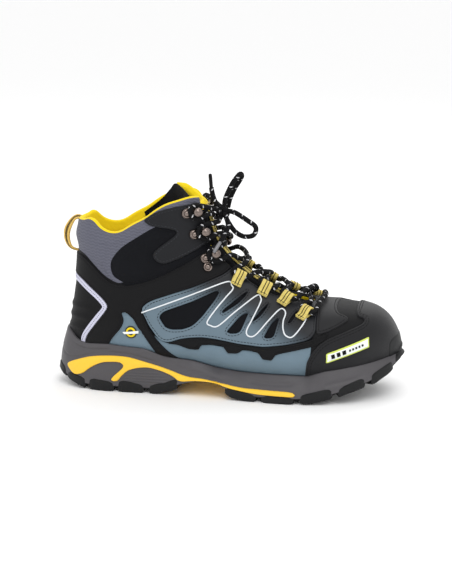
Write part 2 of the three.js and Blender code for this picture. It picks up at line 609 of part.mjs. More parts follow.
const stations = Object.fromEntries(
  Object.entries(SIDES).map(([name, side]) => [
    name,
    [
      ...placesOf.loop(side).map((place) => ({ place, side, pass: throughLoop })),
      ...placesOf.hook(side).map((place) => ({ place, side, pass: aroundHook })),
    ],
  ]),
);
const LOW = 1.2; // height over the last, halfway between the sides, of the strand that crosses underneath
const HIGH = LOW + LACE_D + 1.2;
const EDGE_RISE = OVERLAY_OUT + LACE_D / 2 + 2;

// One end's way down, from the top hook to the lowest loop, changing sides at every station.
function wayDown(first, middle) {
  const order = [first, first === "outer" ? "inner" : "outer"];
  const points = [];
  for (let i = 6; i >= 0; i--) {
    const { place, side, pass } = stations[order[i % 2]][i];
    if (i < 6) {
      const before = stations[order[(i + 1) % 2]][i + 1];
      points.push(...crossing(before.place, place, i ? middle : middle + 3.5, EDGE_RISE + (i ? 0 : 1)));
    }
    points.push(...pass(frameAt(place, SEAT), side, true));
  }
  return points;
}
const KNOT = new THREE.Vector3(141, 0, 158);
const KNOT_SIZE = new THREE.Vector3(6, 7.5, 6);
const downOuter = wayDown("outer", LOW);
const downInner = wayDown("inner", HIGH);
const bar = crossing(stations.outer[0].place, stations.inner[0].place, EDGE_RISE, EDGE_RISE);
const knotGap = KNOT_SIZE.y + GAP + 1;
const laceRoute = [
  KNOT.clone().add(new THREE.Vector3(-2, -knotGap, 1)),
  ...downOuter,
  ...bar,
  ...downInner.reverse(),
  KNOT.clone().add(new THREE.Vector3(-2, knotGap, 1)),
];
const laceSpace = cord(laceRoute, LACE_D + 2 * GAP);
addPiece("lace", cord(laceRoute, LACE_D), LACE);

// ---------- lace loops and hooks ----------
function inFrame(solidGeometry, frame) {
  return solidOf(solidGeometry.applyMatrix4(frame));
}
const arc = (cx, cz, r, a0, a1, count) =>
  Array.from({ length: count + 1 }, (_, i) => {
    const a = THREE.MathUtils.degToRad(a0 + ((a1 - a0) * i) / count);
    return [cx + r * Math.cos(a), cz + r * Math.sin(a)];
  });
function loopGeometry() {
  const r = LACE_D / 2 + GAP + WEB_T;
  const outline = [
    [-LOOP_SPAN, -3], [2, -3], ...arc(0, r, r + 0.5, -50, 100, 5), [-LOOP_SPAN / 2, 2 * WEB_T], [-LOOP_SPAN, 2 * WEB_T],
  ];
  const shape = new THREE.Shape(outline.map(([x, z]) => new THREE.Vector2(x, z)));
  const geometry = new THREE.ExtrudeGeometry(shape, { depth: WEB_W, bevelEnabled: false });
  return geometry.rotateX(Math.PI / 2).translate(0, WEB_W / 2, 0);
}
function hookGeometryParts() {
  const post = new THREE.LatheGeometry(
    [[0, 0], [HOOK_POST, 0], [HOOK_POST, HOOK_PLATE + HOOK_HEIGHT], [HOOK_HEAD, HOOK_PLATE + HOOK_HEIGHT + 0.3],
      [HOOK_HEAD, HOOK_PLATE + HOOK_HEIGHT + 1.6], [HOOK_HEAD * 0.6, HOOK_PLATE + HOOK_HEIGHT + 3],
      [0, HOOK_PLATE + HOOK_HEIGHT + 3.4]].map(([r, z]) => new THREE.Vector2(r, z)),
    9,
  ).rotateX(Math.PI / 2);
  const outline = [...arc(0, 0, 4, -90, 90, 4), ...arc(-8, 0, 4, 90, 270, 4)];
  const plateShape = new THREE.Shape(outline.map(([x, y]) => new THREE.Vector2(x, y)));
  const plate = new THREE.ExtrudeGeometry(plateShape, { depth: HOOK_PLATE + 3, bevelEnabled: false });
  const rivet = new THREE.LatheGeometry(
    [[0, 0], [2.8, 0], [2.6, HOOK_PLATE + 0.9], [1.5, HOOK_PLATE + 1.8], [0, HOOK_PLATE + 2]].map(
      ([r, z]) => new THREE.Vector2(r, z)),
    9,
  ).rotateX(Math.PI / 2);
  return [post, plate.translate(0, 0, -3), rivet.translate(-8, 0, 0)];
}
const seatBody = lastBody(SEAT);
for (const [name, side] of Object.entries(SIDES)) {
  placesOf.loop(side).forEach((place, i) => {
    const loop = inFrame(loopGeometry(), frameAt(place, SEAT)).subtract(seatBody).subtract(laceSpace);
    addPiece(`lace_loop_${name}_${i + 1}`, loop, WEBBING);
  });
  placesOf.hook(side).forEach((place, i) => {
    const frame = frameAt(place, SEAT);
    const hook = union(hookGeometryParts().map((part) => inFrame(part, frame)));
    addPiece(`hook_${name}_${i + 1}`, hook.subtract(seatBody).subtract(laceSpace), GUNMETAL);
  });
}

// ---------- bow ----------
const vectors = (points) => points.map((p) => new THREE.Vector3(...p));
const spline = (points, count) => new THREE.CatmullRomCurve3(vectors(points)).getPoints(count);
const knot = new THREE.SphereGeometry(1, 10, 6).scale(...KNOT_SIZE.toArray()).translate(...KNOT.toArray());
addPiece("bow_knot", solidOf(knot).subtract(laceSpace), LACE);
const knotSpace = solidOf(
  new THREE.SphereGeometry(1, 10, 6).scale(...KNOT_SIZE.clone().addScalar(GAP).toArray()).translate(...KNOT.toArray()),
);
const BOW = {
  bow_loop_upper: [[143, -3, 160], [144, -3, 169], [150, -3, 182], [156, -1, 190], [157, 3, 187], [151, 4, 177],
    [147, 3, 168], [145, 3, 160]],
  bow_loop_lower: [[144, -2, 158], [153, -6, 157], [164, -10, 151.5], [172, -12, 146], [170, -12, 139],
    [161, -9, 137], [152, -5, 141], [144, -1, 151]],
  lace_end_upper: [[138, -5, 161], [135, -6, 167], [133, -6, 173], [132, -6, 178]],
};
for (const [name, points] of Object.entries(BOW)) {
  addPiece(name, cord(spline(points, 12), LACE_D).subtract(knotSpace), LACE);
}
const hookLow = findPlace(133, 122, 1);
const TAIL_RISE = HIGH + LACE_D / 2 + 5;
const tail = [0.3, 0.55, 0.8, 1].map((f) => {
  const along = THREE.MathUtils.lerp(findPlace(134, 152, 1).along, hookLow.along, f);
  const angle = hookLow.angle * f;
  return lastPoint(along, angle).addScaledVector(lastNormal(along, angle), TAIL_RISE);
});
const tailCurve = new THREE.CatmullRomCurve3([KNOT.clone().add(new THREE.Vector3(2.5, -5, -2)), ...tail]);
const AGLET_SHARE = 0.74;
const TAIL_STEPS = 14;
const tailPoints = tailCurve.getPoints(TAIL_STEPS);
const split = Math.round(TAIL_STEPS * AGLET_SHARE);
addPiece("lace_end_lower", cord(tailPoints.slice(0, split + 1), LACE_D).subtract(knotSpace), LACE);
const AGLET_D = 3.2;
const gapStart = tailPoints[split].clone().lerp(tailPoints[split + 1], 0.08);
const tipEnd = tailPoints[TAIL_STEPS];
addPiece("aglet_lower", cord([gapStart, gapStart.clone().lerp(tipEnd, 0.5), tipEnd], AGLET_D), GUNMETAL);
addPiece("aglet_upper", cord(vectors([[132, -6, 178.3], [131.5, -6, 184], [131, -6, 190.5]]), AGLET_D), GUNMETAL);

// ---------- pull loop at the back ----------
const PULL_LOOP = [
  [16, 151], [6, 151.3], [1.2, 145.5], [-1, 136], [-1, 127], [1.5, 119.5], [7, 115.8], [16, 115.5],
  [16, 115.5 + PULL_T], [8, 117.6], [3.2, 120.9], [0.8, 127.6], [0.8, 135.4], [2.9, 144.6], [7, 149.4], [16, 151 - PULL_T],
];
const heelSeat = lastBody(SEAT).intersect(planCut([[-20, -40], [60, -40], [60, 40], [-20, 40]], 90, 122));
const pull = sideCut(PULL_LOOP, -PULL_W / 2, PULL_W / 2).subtract(lastBody(GAP)).subtract(heelSeat);
addPiece("heel_pull_loop", pull, WEBBING);

// ---------- placing: the origin under the middle of the boot, on the ground ----------
const CORDS = ["lace", "bow_knot", "bow_loop_upper", "bow_loop_lower", "lace_end_upper", "lace_end_lower",
  "aglet_upper", "aglet_lower"];
const box = new THREE.Box3();
for (const mesh of boot.children) if (!CORDS.includes(mesh.name)) box.expandByObject(mesh);
const centre = box.getCenter(new THREE.Vector3());
boot.position.set(-centre.x, -centre.y, -box.min.z);

export default boot;
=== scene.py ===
"""A lace-up hiking boot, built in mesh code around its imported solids."""

import json
import logging
import math
from dataclasses import dataclass, field
from enum import Enum

import bpy
import numpy as np
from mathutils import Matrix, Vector

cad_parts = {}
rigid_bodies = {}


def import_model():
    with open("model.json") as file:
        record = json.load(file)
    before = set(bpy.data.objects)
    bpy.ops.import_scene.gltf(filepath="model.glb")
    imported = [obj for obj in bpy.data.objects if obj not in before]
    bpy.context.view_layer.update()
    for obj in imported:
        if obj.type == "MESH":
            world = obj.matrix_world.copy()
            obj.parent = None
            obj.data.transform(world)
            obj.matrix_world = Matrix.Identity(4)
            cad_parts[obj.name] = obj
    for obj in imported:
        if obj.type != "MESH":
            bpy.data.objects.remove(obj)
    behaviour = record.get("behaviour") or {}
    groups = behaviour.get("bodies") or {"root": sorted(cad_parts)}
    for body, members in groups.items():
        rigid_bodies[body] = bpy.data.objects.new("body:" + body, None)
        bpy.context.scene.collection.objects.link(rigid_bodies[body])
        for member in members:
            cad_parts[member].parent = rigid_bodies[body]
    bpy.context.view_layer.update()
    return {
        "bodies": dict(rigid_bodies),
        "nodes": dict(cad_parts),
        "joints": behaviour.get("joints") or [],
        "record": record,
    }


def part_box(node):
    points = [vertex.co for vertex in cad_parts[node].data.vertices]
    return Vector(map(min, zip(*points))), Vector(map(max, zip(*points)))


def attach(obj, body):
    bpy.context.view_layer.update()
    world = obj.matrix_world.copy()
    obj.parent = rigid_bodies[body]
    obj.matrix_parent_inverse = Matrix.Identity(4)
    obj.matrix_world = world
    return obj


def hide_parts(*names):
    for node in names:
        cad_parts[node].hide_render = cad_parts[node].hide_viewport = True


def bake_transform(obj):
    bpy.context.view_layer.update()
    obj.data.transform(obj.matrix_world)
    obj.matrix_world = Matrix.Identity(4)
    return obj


MM = 0.001
FAR = 1e3
Array = np.ndarray
Points = list[tuple[float, float]]
log = logging.getLogger("boot")


class Side(Enum):
    """Which half of the boot a panel lies on."""

    OUTER = -1
    INNER = 1
    BOTH = 0


# ---------------------------------------------------------------- outlines


def rounded(points: Points, most: float = 4.0, rounds: int = 3, cut: float = 0.22) -> Array:
    """Cuts the corners of a closed outline so that it turns smoothly.

    Args:
        points: corner points in order.
        most: the longest stretch that the first cut takes, in millimetres.
        rounds: how many times the corners are cut.
        cut: share of each edge that a cut takes.

    Returns:
        The smoother points.
    """
    p = np.asarray(points, float)
    for _ in range(rounds):
        edge = np.roll(p, -1, axis=0) - p
        share = np.minimum(cut, most / np.maximum(np.linalg.norm(edge, axis=1, keepdims=True), 1e-9))
        p = np.stack([p + edge * share, p + edge * (1 - share)], 1).reshape(-1, p.shape[1])
        most /= 2
    return p


def segment_distance(q: Array, a: Array, b: Array) -> Array:
    """Least distance from each point to a set of segments.

    Args:
        q: points, n by 2.
        a: segment starts, m by 2.
        b: segment ends, m by 2.

    Returns:
        n distances.
    """
    out = np.full(len(q), FAR)
    for s, e in zip(a, b):
        d = e - s
        t = np.clip(((q - s) @ d) / max(d @ d, 1e-9), 0, 1)
        out = np.minimum(out, np.hypot(*(q - s - t[:, None] * d).T))
    return out


def inside_distance(q: Array, outline: Array) -> Array:
    """Signed distance to a closed outline, positive inside it.

    Args:
        q: points, n by 2.
        outline: the closed outline, m by 2.

    Returns:
        n signed distances.
    """
    out = np.full(len(q), -FAR)
    lo, hi = outline.min(0) - 12, outline.max(0) + 12
    near = np.all((q > lo) & (q < hi), axis=1)
    p = q[near]
    nxt = np.roll(outline, -1, axis=0)
    inside = np.zeros(len(p), bool)
    for (x0, y0), (x1, y1) in zip(outline, nxt):
        if y0 != y1:
            inside ^= ((y0 > p[:, 1]) != (y1 > p[:, 1])) & (
                p[:, 0] < (x1 - x0) * (p[:, 1] - y0) / (y1 - y0) + x0
            )
    out[near] = segment_distance(p, outline, nxt) * np.where(inside, 1, -1)
    return out


def smoothstep(lo: float, hi: float, x: Array) -> Array:
    """Rises smoothly from 0 at lo to 1 at hi.

    Args:
        lo: where it starts to rise.
        hi: where it ends.
        x: values to map.

    Returns:
        The mapped values.
    """
    t = np.clip((np.asarray(x, float) - lo) / (hi - lo), 0, 1)
    return t * t * (3 - 2 * t)


def rolled(inside: Array, edge: float) -> Array:
    """Rises along a quarter circle, from 0 at a rim to 1 at a distance inside it."""
    return np.sqrt(1 - (1 - np.clip(inside / edge, 0, 1)) ** 2)


def unit(v: Array) -> Array:
    """Vectors scaled to length 1."""
    return v / np.maximum(np.linalg.norm(v, axis=-1, keepdims=True), 1e-12)


def averaged(line: Array, rounds: int) -> Array:
    """An open line with its inner points drawn towards their neighbours, in place."""
    for _ in range(rounds):
        line[1:-1] = (line[:-2] + 2 * line[1:-1] + line[2:]) / 4
    return line


def spline(points: Array, step: float, closed: bool = False) -> Array:
    """A smooth curve through points, resampled evenly.

    Args:
        points: control points, n by 2 or 3.
        step: distance between the new points.
        closed: whether the curve closes.

    Returns:
        The resampled points.
    """
    p = np.asarray(points, float)
    count = len(p)
    ids = np.arange(count if closed else count - 1)
    before = p[(ids - 1) % count] if closed else np.vstack([2 * p[0] - p[1], p[:-2]])
    after = p[(ids + 2) % count] if closed else np.vstack([p[2:], 2 * p[-1] - p[-2]])
    here, nxt = p[ids], p[(ids + 1) % count]
    t = np.linspace(0, 1, 16, endpoint=False)[None, :, None]
    m0, m1 = (nxt - before)[:, None] / 2, (after - here)[:, None] / 2
    a, b = here[:, None], nxt[:, None]
    fine = (2 * t**3 - 3 * t**2 + 1) * a + (t**3 - 2 * t**2 + t) * m0
    fine = (fine + (3 * t**2 - 2 * t**3) * b + (t**3 - t**2) * m1).reshape(-1, p.shape[1])
    fine = np.vstack([fine, p[:1] if closed else p[-1:]])
    return resample(fine, step)


def resample(line: Array, step: float) -> Array:
    """Points at even spacing along a polyline.

    Args:
        line: the polyline.
        step: wanted spacing.

    Returns:
        The new points, first and last kept.
    """
    gaps = np.linalg.norm(np.diff(line, axis=0), axis=1)
    s = np.concatenate([[0], np.cumsum(gaps)])
    count = max(2, int(round(s[-1] / step)) + 1)
    u = np.linspace(0, s[-1], count)
    return np.stack([np.interp(u, s, line[:, k]) for k in range(line.shape[1])], 1)


# ---------------------------------------------------------------- the form


@dataclass
class Form:
    """The last that the upper is pulled over; sizes in millimetres from the heel.

    Each ring runs from a point on the back or bottom line to one on the front or top line:
    back x, z; front x, z; centre y; outer and inner half widths; share of the way to the widest point.
    """

    origin: Array
    roundness: float = 2.45
    rings: tuple = (
        (18, 200, 122, 206, 0, 33, 32, 0.5),
        (14, 172, 127, 184, 0, 33, 32, 0.5),
        (12.5, 148, 130.5, 167, 0, 32.5, 31.5, 0.5),
        (12, 122, 134, 150, 0, 32, 31, 0.5),
        (10, 100, 140, 134, 1, 33, 31.5, 0.48),
        (7, 80, 150, 121, 1.5, 35, 33, 0.45),
        (4, 60, 164, 108.5, 2, 37, 34, 0.43),
        (3, 43, 180, 97, 2.5, 38.5, 36, 0.42),
        (14, 31, 197, 88, 3, 40, 38, 0.42),
        (50, 27, 214, 82, 3, 42, 40, 0.42),
        (100, 24, 229, 79.5, 3.5, 45, 43.5, 0.42),
        (150, 17, 242, 79, 2.5, 48.5, 47, 0.42),
        (195, 13, 255, 78.5, 3, 49, 47.5, 0.42),
        (230, 13.5, 267, 76.5, 4, 45.5, 45, 0.42),
        (255, 16.5, 278, 72.5, 5, 38.5, 39, 0.43),
        (272, 21, 287, 65, 6.5, 28.5, 30, 0.45),
        (285, 27, 293.5, 54, 8, 17, 18.5, 0.48),
        (292, 33, 296.5, 44, 8, 8, 9, 0.5),
    )

    def ring(self, along: Array) -> Array:
        """The ring's sizes at places along the form.

        Args:
            along: 0 at the shaft's top to 1 at the toe.

        Returns:
            Eight sizes for each place.
        """
        rows = np.asarray(self.rings, float)
        last = len(rows) - 1
        padded = np.vstack([2 * rows[0] - rows[1], rows, 2 * rows[-1] - rows[-2]])
        s = np.clip(along, 0, 1) * last
        i = np.minimum(s.astype(int), last - 1)
        t = (s - i)[:, None]
        p0, p1, p2, p3 = (padded[i + k] for k in range(4))
        m0, m1 = (p2 - p0) / 2, (p3 - p1) / 2
        h = (2 * t**3 - 3 * t**2 + 1) * p1 + (t**3 - 2 * t**2 + t) * m0
        return h + (3 * t**2 - 2 * t**3) * p2 + (t**3 - t**2) * m1

    def point(self, along: Array, angle: Array) -> Array:
        """Points of the form.

        Args:
            along: 0 at the shaft's top to 1 at the toe.
            angle: 0 on the front line, turning through the outer side.

        Returns:
            n points.
        """
        r = self.ring(along)
        c, s = np.cos(angle), np.sin(angle)
        reach = np.abs(c) ** (2 / self.roundness)
        share = np.where(c >= 0, r[:, 7] + (1 - r[:, 7]) * reach, r[:, 7] * (1 - reach))
        half = np.where(s >= 0, r[:, 5], r[:, 6])
        y = r[:, 4] - np.sign(s) * half * np.abs(s) ** (2 / self.roundness)
        x = r[:, 0] + (r[:, 2] - r[:, 0]) * share
        return np.stack([x, y, r[:, 1] + (r[:, 3] - r[:, 1]) * share], 1)

    def normal(self, along: Array, angle: Array) -> Array:
        """Outward directions of the form's surface.

        Args:
            along: 0 at the shaft's top to 1 at the toe.
            angle: 0 on the front line, turning through the outer side.

        Returns:
            n unit vectors.
        """
        a0, a1 = np.clip(along - 0.004, 0, 1), np.clip(along + 0.004, 0, 1)
        du = self.point(a1, angle) - self.point(a0, angle)
        dv = self.point(along, angle + 0.02) - self.point(along, angle - 0.02)
        return -unit(np.cross(du, dv))

    def find(self, xz: Array, side: Side) -> tuple[Array, Array]:
        """Where side-view points fall on the form.

        Args:
            xz: n side-view points.
            side: the half of the boot they lie on.

        Returns:
            along and angle of each point.
        """
        turn = -side.value
        a, b = np.meshgrid(np.linspace(0, 1, 140), np.linspace(0.02, 1.75, 70), indexing="ij")
        a, b = a.ravel(), b.ravel()
        p = self.point(a, turn * b)[:, [0, 2]]
        best = np.array([np.argmin(((p - q) ** 2).sum(1)) for q in xz])
        along, angle = a[best], b[best]
        for _ in range(6):
            here = self.point(along, turn * angle)[:, [0, 2]]
            da = (self.point(along + 1e-3, turn * angle)[:, [0, 2]] - here) / 1e-3
            db = (self.point(along, turn * (angle + 1e-3))[:, [0, 2]] - here) / 1e-3
            miss = xz - here
            det = da[:, 0] * db[:, 1] - da[:, 1] * db[:, 0]
            det = np.where(np.abs(det) < 1, np.where(det < 0, -1, 1), det)
            along = np.clip(along + (miss[:, 0] * db[:, 1] - miss[:, 1] * db[:, 0]) / det, 0, 1)
            angle = np.clip(angle + (da[:, 0] * miss[:, 1] - da[:, 1] * miss[:, 0]) / det, 0, 1.8)
        return along, turn * angle

    def on(self, xz: Array, side: Side, offset: float) -> tuple[Array, Array]:
        """Points over side-view points, at a height above the form.

        Args:
            xz: n side-view points.
            side: the half of the boot they lie on.
            offset: height above the form.

        Returns:
            The points and the outward directions there.
        """
        along, angle = self.find(np.asarray(xz, float), side)
        n = self.normal(along, angle)
        return self.point(along, angle) + n * offset, n

    def place(self, points: Array) -> Array:
        """Design millimetres turned into row-frame metres."""
        return (np.asarray(points, float) + self.origin) * MM


# ---------------------------------------------------------------- patches of surface


@dataclass
class Patch:
    """A triangulated piece of surface that carries distance fields for cutting and raising it."""

    points: Array
    normals: Array
    faces: Array
    fields: dict[str, Array] = field(default_factory=dict)

    def copy(self) -> "Patch":
        """The same patch, to be cut on its own."""
        return Patch(self.points, self.normals, self.faces, dict(self.fields))

    def cut(self, name: str, level: float) -> Array:
        """Splits the triangles along a level of a field.

        Args:
            name: the field.
            level: the value to split at.

        Returns:
            Pairs of vertices along the new line.
        """
        d = self.fields[name] - level
        d = np.where(np.abs(d) < 1e-5, 1e-5, d)
        above = (d > 0)[self.faces]
        n = above.sum(1)
        mixed = (n == 1) | (n == 2)
        if not mixed.any():
            return np.zeros((0, 2), int)
        f, up = self.faces[mixed], above[mixed]
        lone = np.where(n[mixed] == 1, up.argmax(1), up.argmin(1))
        rows = np.arange(len(f))
        a, b, c = (f[rows, (lone + k) % 3] for k in range(3))
        pairs = np.sort(np.concatenate([np.stack([a, b], 1), np.stack([a, c], 1)]), axis=1)
        edges, inverse = np.unique(pairs, axis=0, return_inverse=True)
        inverse = inverse.ravel()
        i, j = edges.T
        t = (d[i] / (d[i] - d[j]))[:, None]
        start = len(self.points)
        self.points = np.vstack([self.points, self.points[i] * (1 - t) + self.points[j] * t])
        self.normals = np.vstack([self.normals, unit(self.normals[i] * (1 - t) + self.normals[j] * t)])
        for key, v in self.fields.items():
            self.fields[key] = np.concatenate([v, v[i] * (1 - t[:, 0]) + v[j] * t[:, 0]])
        self.fields[name][start:] = level
        ab, ac = start + inverse[: len(f)], start + inverse[len(f) :]
        parts = [self.faces[~mixed], np.stack([a, ab, ac], 1), np.stack([ab, b, c], 1), np.stack([ab, c, ac], 1)]
        self.faces = np.concatenate(parts)
        return np.stack([ab, ac], 1)

    def keep(self, name: str, level: float = 0.0) -> None:
        """Drops the triangles whose field is under a level, after cutting along it.

        Args:
            name: the field.
            level: the least value kept.
        """
        self.cut(name, level)
        self.faces = self.faces[self.fields[name][self.faces].mean(1) > level]

    def tidy(self) -> Array:
        """Drops unused vertices.

        Returns:
            The new index of each old vertex, or -1.
        """
        used = np.unique(self.faces)
        index = np.full(len(self.points), -1)
        index[used] = np.arange(len(used))
        self.points, self.normals = self.points[used], self.normals[used]
        self.fields = {k: v[used] for k, v in self.fields.items()}
        self.faces = index[self.faces]
        return index

    def rim(self) -> Array:
        """Directed edges that only one triangle has."""
        e = np.concatenate([self.faces[:, [0, 1]], self.faces[:, [1, 2]], self.faces[:, [2, 0]]])
        key = np.sort(e, axis=1)
        _, first, count = np.unique(key, axis=0, return_index=True, return_counts=True)
        return e[first[count == 1]]

    def solid(self, offset: Array, foot: float | Array) -> tuple[Array, Array]:
        """The patch raised by an offset, with a wall round its rim.

        Args:
            offset: height above the patch at each vertex.
            foot: height that the wall reaches down to.

        Returns:
            Vertices and triangles.
        """
        top = self.points + self.normals * np.asarray(offset)[:, None]
        rim = self.rim()
        ids = np.unique(rim)
        low = self.points[ids] + self.normals[ids] * (foot[ids, None] if np.ndim(foot) else foot)
        index = np.full(len(top), -1)
        index[ids] = len(top) + np.arange(len(ids))
        a, b = rim.T
        walls = np.concatenate([np.stack([b, a, index[a]], 1), np.stack([b, index[a], index[b]], 1)])
        return np.vstack([top, low]), np.concatenate([self.faces, walls])


def chains(pairs: Array, points: Array) -> list[Array]:
    """Joins line pieces end to end.

    Args:
        pairs: vertex pairs.
        points: the vertices.

    Returns:
        Polylines of points.
    """
    links: dict[int, list[int]] = {}
    for a, b in pairs.tolist():
        links.setdefault(a, []).append(b)
        links.setdefault(b, []).append(a)
    seen: set[int] = set()
    lines = []
    for start in sorted(links, key=lambda v: len(links[v])):
        if start in seen:
            continue
        line, here = [start], start
        seen.add(start)
        while True:
            nxt = [v for v in links[here] if v not in seen]
            if not nxt:
                break
            here = nxt[0]
            seen.add(here)
            line.append(here)
        if len(line) > 3 and line[0] in links[line[-1]]:
            line.append(line[0])
        if len(line) > 3:
            lines.append(points[line])
    return lines


def wrapped_grid(points: Array, normals: Array) -> Patch:
    """A patch from rings of points that close on themselves.

    Args:
        points: rings by columns by 3.
        normals: outward directions of the same shape.

    Returns:
        The patch, facing out.
    """
    rows, cols = points.shape[:2]
    i, j = np.meshgrid(np.arange(rows - 1), np.arange(cols), indexing="ij")
    a, b = i * cols + j, i * cols + (j + 1) % cols
    c, d = a + cols, b + cols
    faces = np.concatenate([np.stack([a, b, c], -1).reshape(-1, 3), np.stack([b, d, c], -1).reshape(-1, 3)])
    patch = Patch(points.reshape(-1, 3), normals.reshape(-1, 3), faces)
    tri = patch.points[faces[len(faces) // 3]]
    out = np.cross(tri[1] - tri[0], tri[2] - tri[0]) @ patch.normals[faces[len(faces) // 3, 0]]
    if out < 0:
        patch.faces = faces[:, ::-1].copy()
    return patch


def slope(values: Array, points: Array) -> Array:
    """How fast a field on a wrapped grid changes per millimetre of surface.

    Args:
        values: the field, rings by columns.
        points: the grid's points.

    Returns:
        The slope, between 0.3 and 1.3.
    """
    pad = lambda g: np.concatenate([g[:, -1:], g, g[:, :1]], 1)
    f, p = pad(values), pad(points)
    fu, fv = np.gradient(f, axis=0)[:, 1:-1], np.gradient(f, axis=1)[:, 1:-1]
    pu, pv = np.gradient(p, axis=0)[:, 1:-1], np.gradient(p, axis=1)[:, 1:-1]
    e, g, h = (pu * pu).sum(-1), (pv * pv).sum(-1), (pu * pv).sum(-1)
    square = (g * fu**2 - 2 * h * fu * fv + e * fv**2) / np.maximum(e * g - h**2, 1e-9)
    return np.clip(np.sqrt(np.maximum(square, 0)), 0.3, 1.3)


# ---------------------------------------------------------------- making objects

SLAB = [[0, 1, 2, 3], [0, 4, 5, 1], [1, 5, 6, 2], [2, 6, 7, 3], [3, 7, 4, 0]]  # a face and the walls behind it


def ring_faces(rings: int, sides: int) -> list[list[int]]:
    """Polygons between closed rings that follow each other."""
    return [
        [i * sides + j, i * sides + (j + 1) % sides, (i + 1) * sides + (j + 1) % sides, (i + 1) * sides + j]
        for i in range(rings - 1)
        for j in range(sides)
    ]


def sheet_faces(rows: int, cols: int) -> list[list[int]]:
    """Polygons between open rows that follow each other."""
    return [
        [i * cols + j, i * cols + j + 1, (i + 1) * cols + j + 1, (i + 1) * cols + j]
        for i in range(rows - 1)
        for j in range(cols - 1)
    ]


def lined_faces(inside: Array, near: Array, faces: Array) -> Array:
    """Triangles of a padded layer.

    Args:
        inside: how far each vertex is from the rim.
        near: the outer face's triangles.
        faces: the inner face's triangles, which share the rim's vertices.

    Returns:
        All its triangles, for the outer vertices followed by the inner ones.
    """
    index = np.where(inside < 1e-3, np.arange(len(inside)), np.arange(len(inside)) + len(inside))
    return np.concatenate([near, index[faces][:, ::-1]])


def make_object(
    name: str, verts: Array, faces: Array, material: bpy.types.Material, crease: float = 48
) -> bpy.types.Object:
    """A mesh object in the scene.

    Args:
        name: the object's name.
        verts: vertices in metres.
        faces: triangles, or a list of polygons.
        material: its finish.
        crease: edges that turn more than this many degrees stay sharp.

    Returns:
        The object.
    """
    mesh = bpy.data.meshes.new(name)
    mesh.from_pydata(np.asarray(verts).tolist(), [], faces.tolist() if isinstance(faces, np.ndarray) else faces)
    mesh.validate()
    mesh.shade_smooth()
    mesh.set_sharp_from_angle(angle=math.radians(crease))
    mesh.materials.append(material)
    obj = bpy.data.objects.new(name, mesh)
    bpy.context.scene.collection.objects.link(obj)
    return obj


@dataclass
class Soup:
    """Many small solids gathered into one mesh."""

    verts: list[Array] = field(default_factory=list)
    faces: list = field(default_factory=list)
    count: int = 0

    def add(self, verts: Array, faces: list | Array) -> None:
        """Adds a solid.

        Args:
            verts: its vertices.
            faces: its polygons.
        """
        self.verts.append(np.asarray(verts, float))
        self.faces.extend([int(i) + self.count for i in f] for f in faces)
        self.count += len(verts)

    def make(self, name: str, form: Form, material: bpy.types.Material, crease: float = 48) -> bpy.types.Object:
        """The gathered solids as an object.

        Args:
            name: the object's name.
            form: what turns design millimetres into metres.
            material: its finish.
            crease: edges that turn more than this many degrees stay sharp.

        Returns:
            The object.
        """
        return make_object(name, form.place(np.vstack(self.verts)), self.faces, material, crease)


def sweep(
    line: Array, section: Array, ups: Array | None = None, cap: bool = True, scale: Array | None = None
) -> tuple[Array, list]:
    """A section drawn along a line.

    Args:
        line: points of the line.
        section: closed section points, across and up.
        ups: the section's up direction at each point, or None to carry one along.
        cap: whether the ends are closed.
        scale: size of the section at each point.

    Returns:
        Vertices and polygons.
    """
    count, sides = len(line), len(section)
    tangent = unit(np.gradient(line, axis=0))
    if ups is None:
        ups = np.zeros_like(line)
        up = np.cross(tangent[0], [0.3, 0.9, 0.2])
        for i in range(count):
            up = up - (up @ tangent[i]) * tangent[i]
            up = up / np.linalg.norm(up)
            ups[i] = up
    else:
        ups = unit(ups - (ups * tangent).sum(1, keepdims=True) * tangent)
    across = np.cross(tangent, ups)
    size = np.ones(count) if scale is None else scale
    ring = section[None, :, :] * size[:, None, None]
    verts = line[:, None] + across[:, None] * ring[..., :1] + ups[:, None] * ring[..., 1:]
    faces = ring_faces(count, sides)
    if cap:
        faces += [list(range(sides))[::-1], [(count - 1) * sides + j for j in range(sides)]]
    return verts.reshape(-1, 3), faces


def disc(radius: float, sides: int, flat: float = 1.0) -> Array:
    """Points round an ellipse, to sweep.

    Args:
        radius: half its width.
        sides: how many points.
        flat: its height as a share of its width.

    Returns:
        The points.
    """
    a = np.arange(sides) * 2 * math.pi / sides
    return np.stack([np.cos(a), np.sin(a) * flat], 1) * radius


def turned(profile: Points, origin: Array, axis: Array, sides: int = 20) -> tuple[Array, list]:
    """A turned piece such as a rivet.

    Args:
        profile: radius and height pairs, from the bottom up, ending on the axis.
        origin: where height 0 lies.
        axis: its direction.
        sides: facets round it.

    Returns:
        Vertices and polygons.
    """
    axis = unit(np.asarray(axis, float))
    u = unit(np.cross(axis, [0.2, 0.4, 0.9]))
    v = np.cross(axis, u)
    a = np.arange(sides) * 2 * math.pi / sides
    ring = np.cos(a)[:, None] * u + np.sin(a)[:, None] * v
    verts = [origin + axis * h + ring * max(r, 1e-3) for r, h in profile]
    last = (len(profile) - 1) * sides
    ends = [list(range(sides))[::-1], [last + j for j in range(sides)]]
    return np.vstack(verts), ring_faces(len(profile), sides) + ends


SHORTEST = 7  # stitches in a row


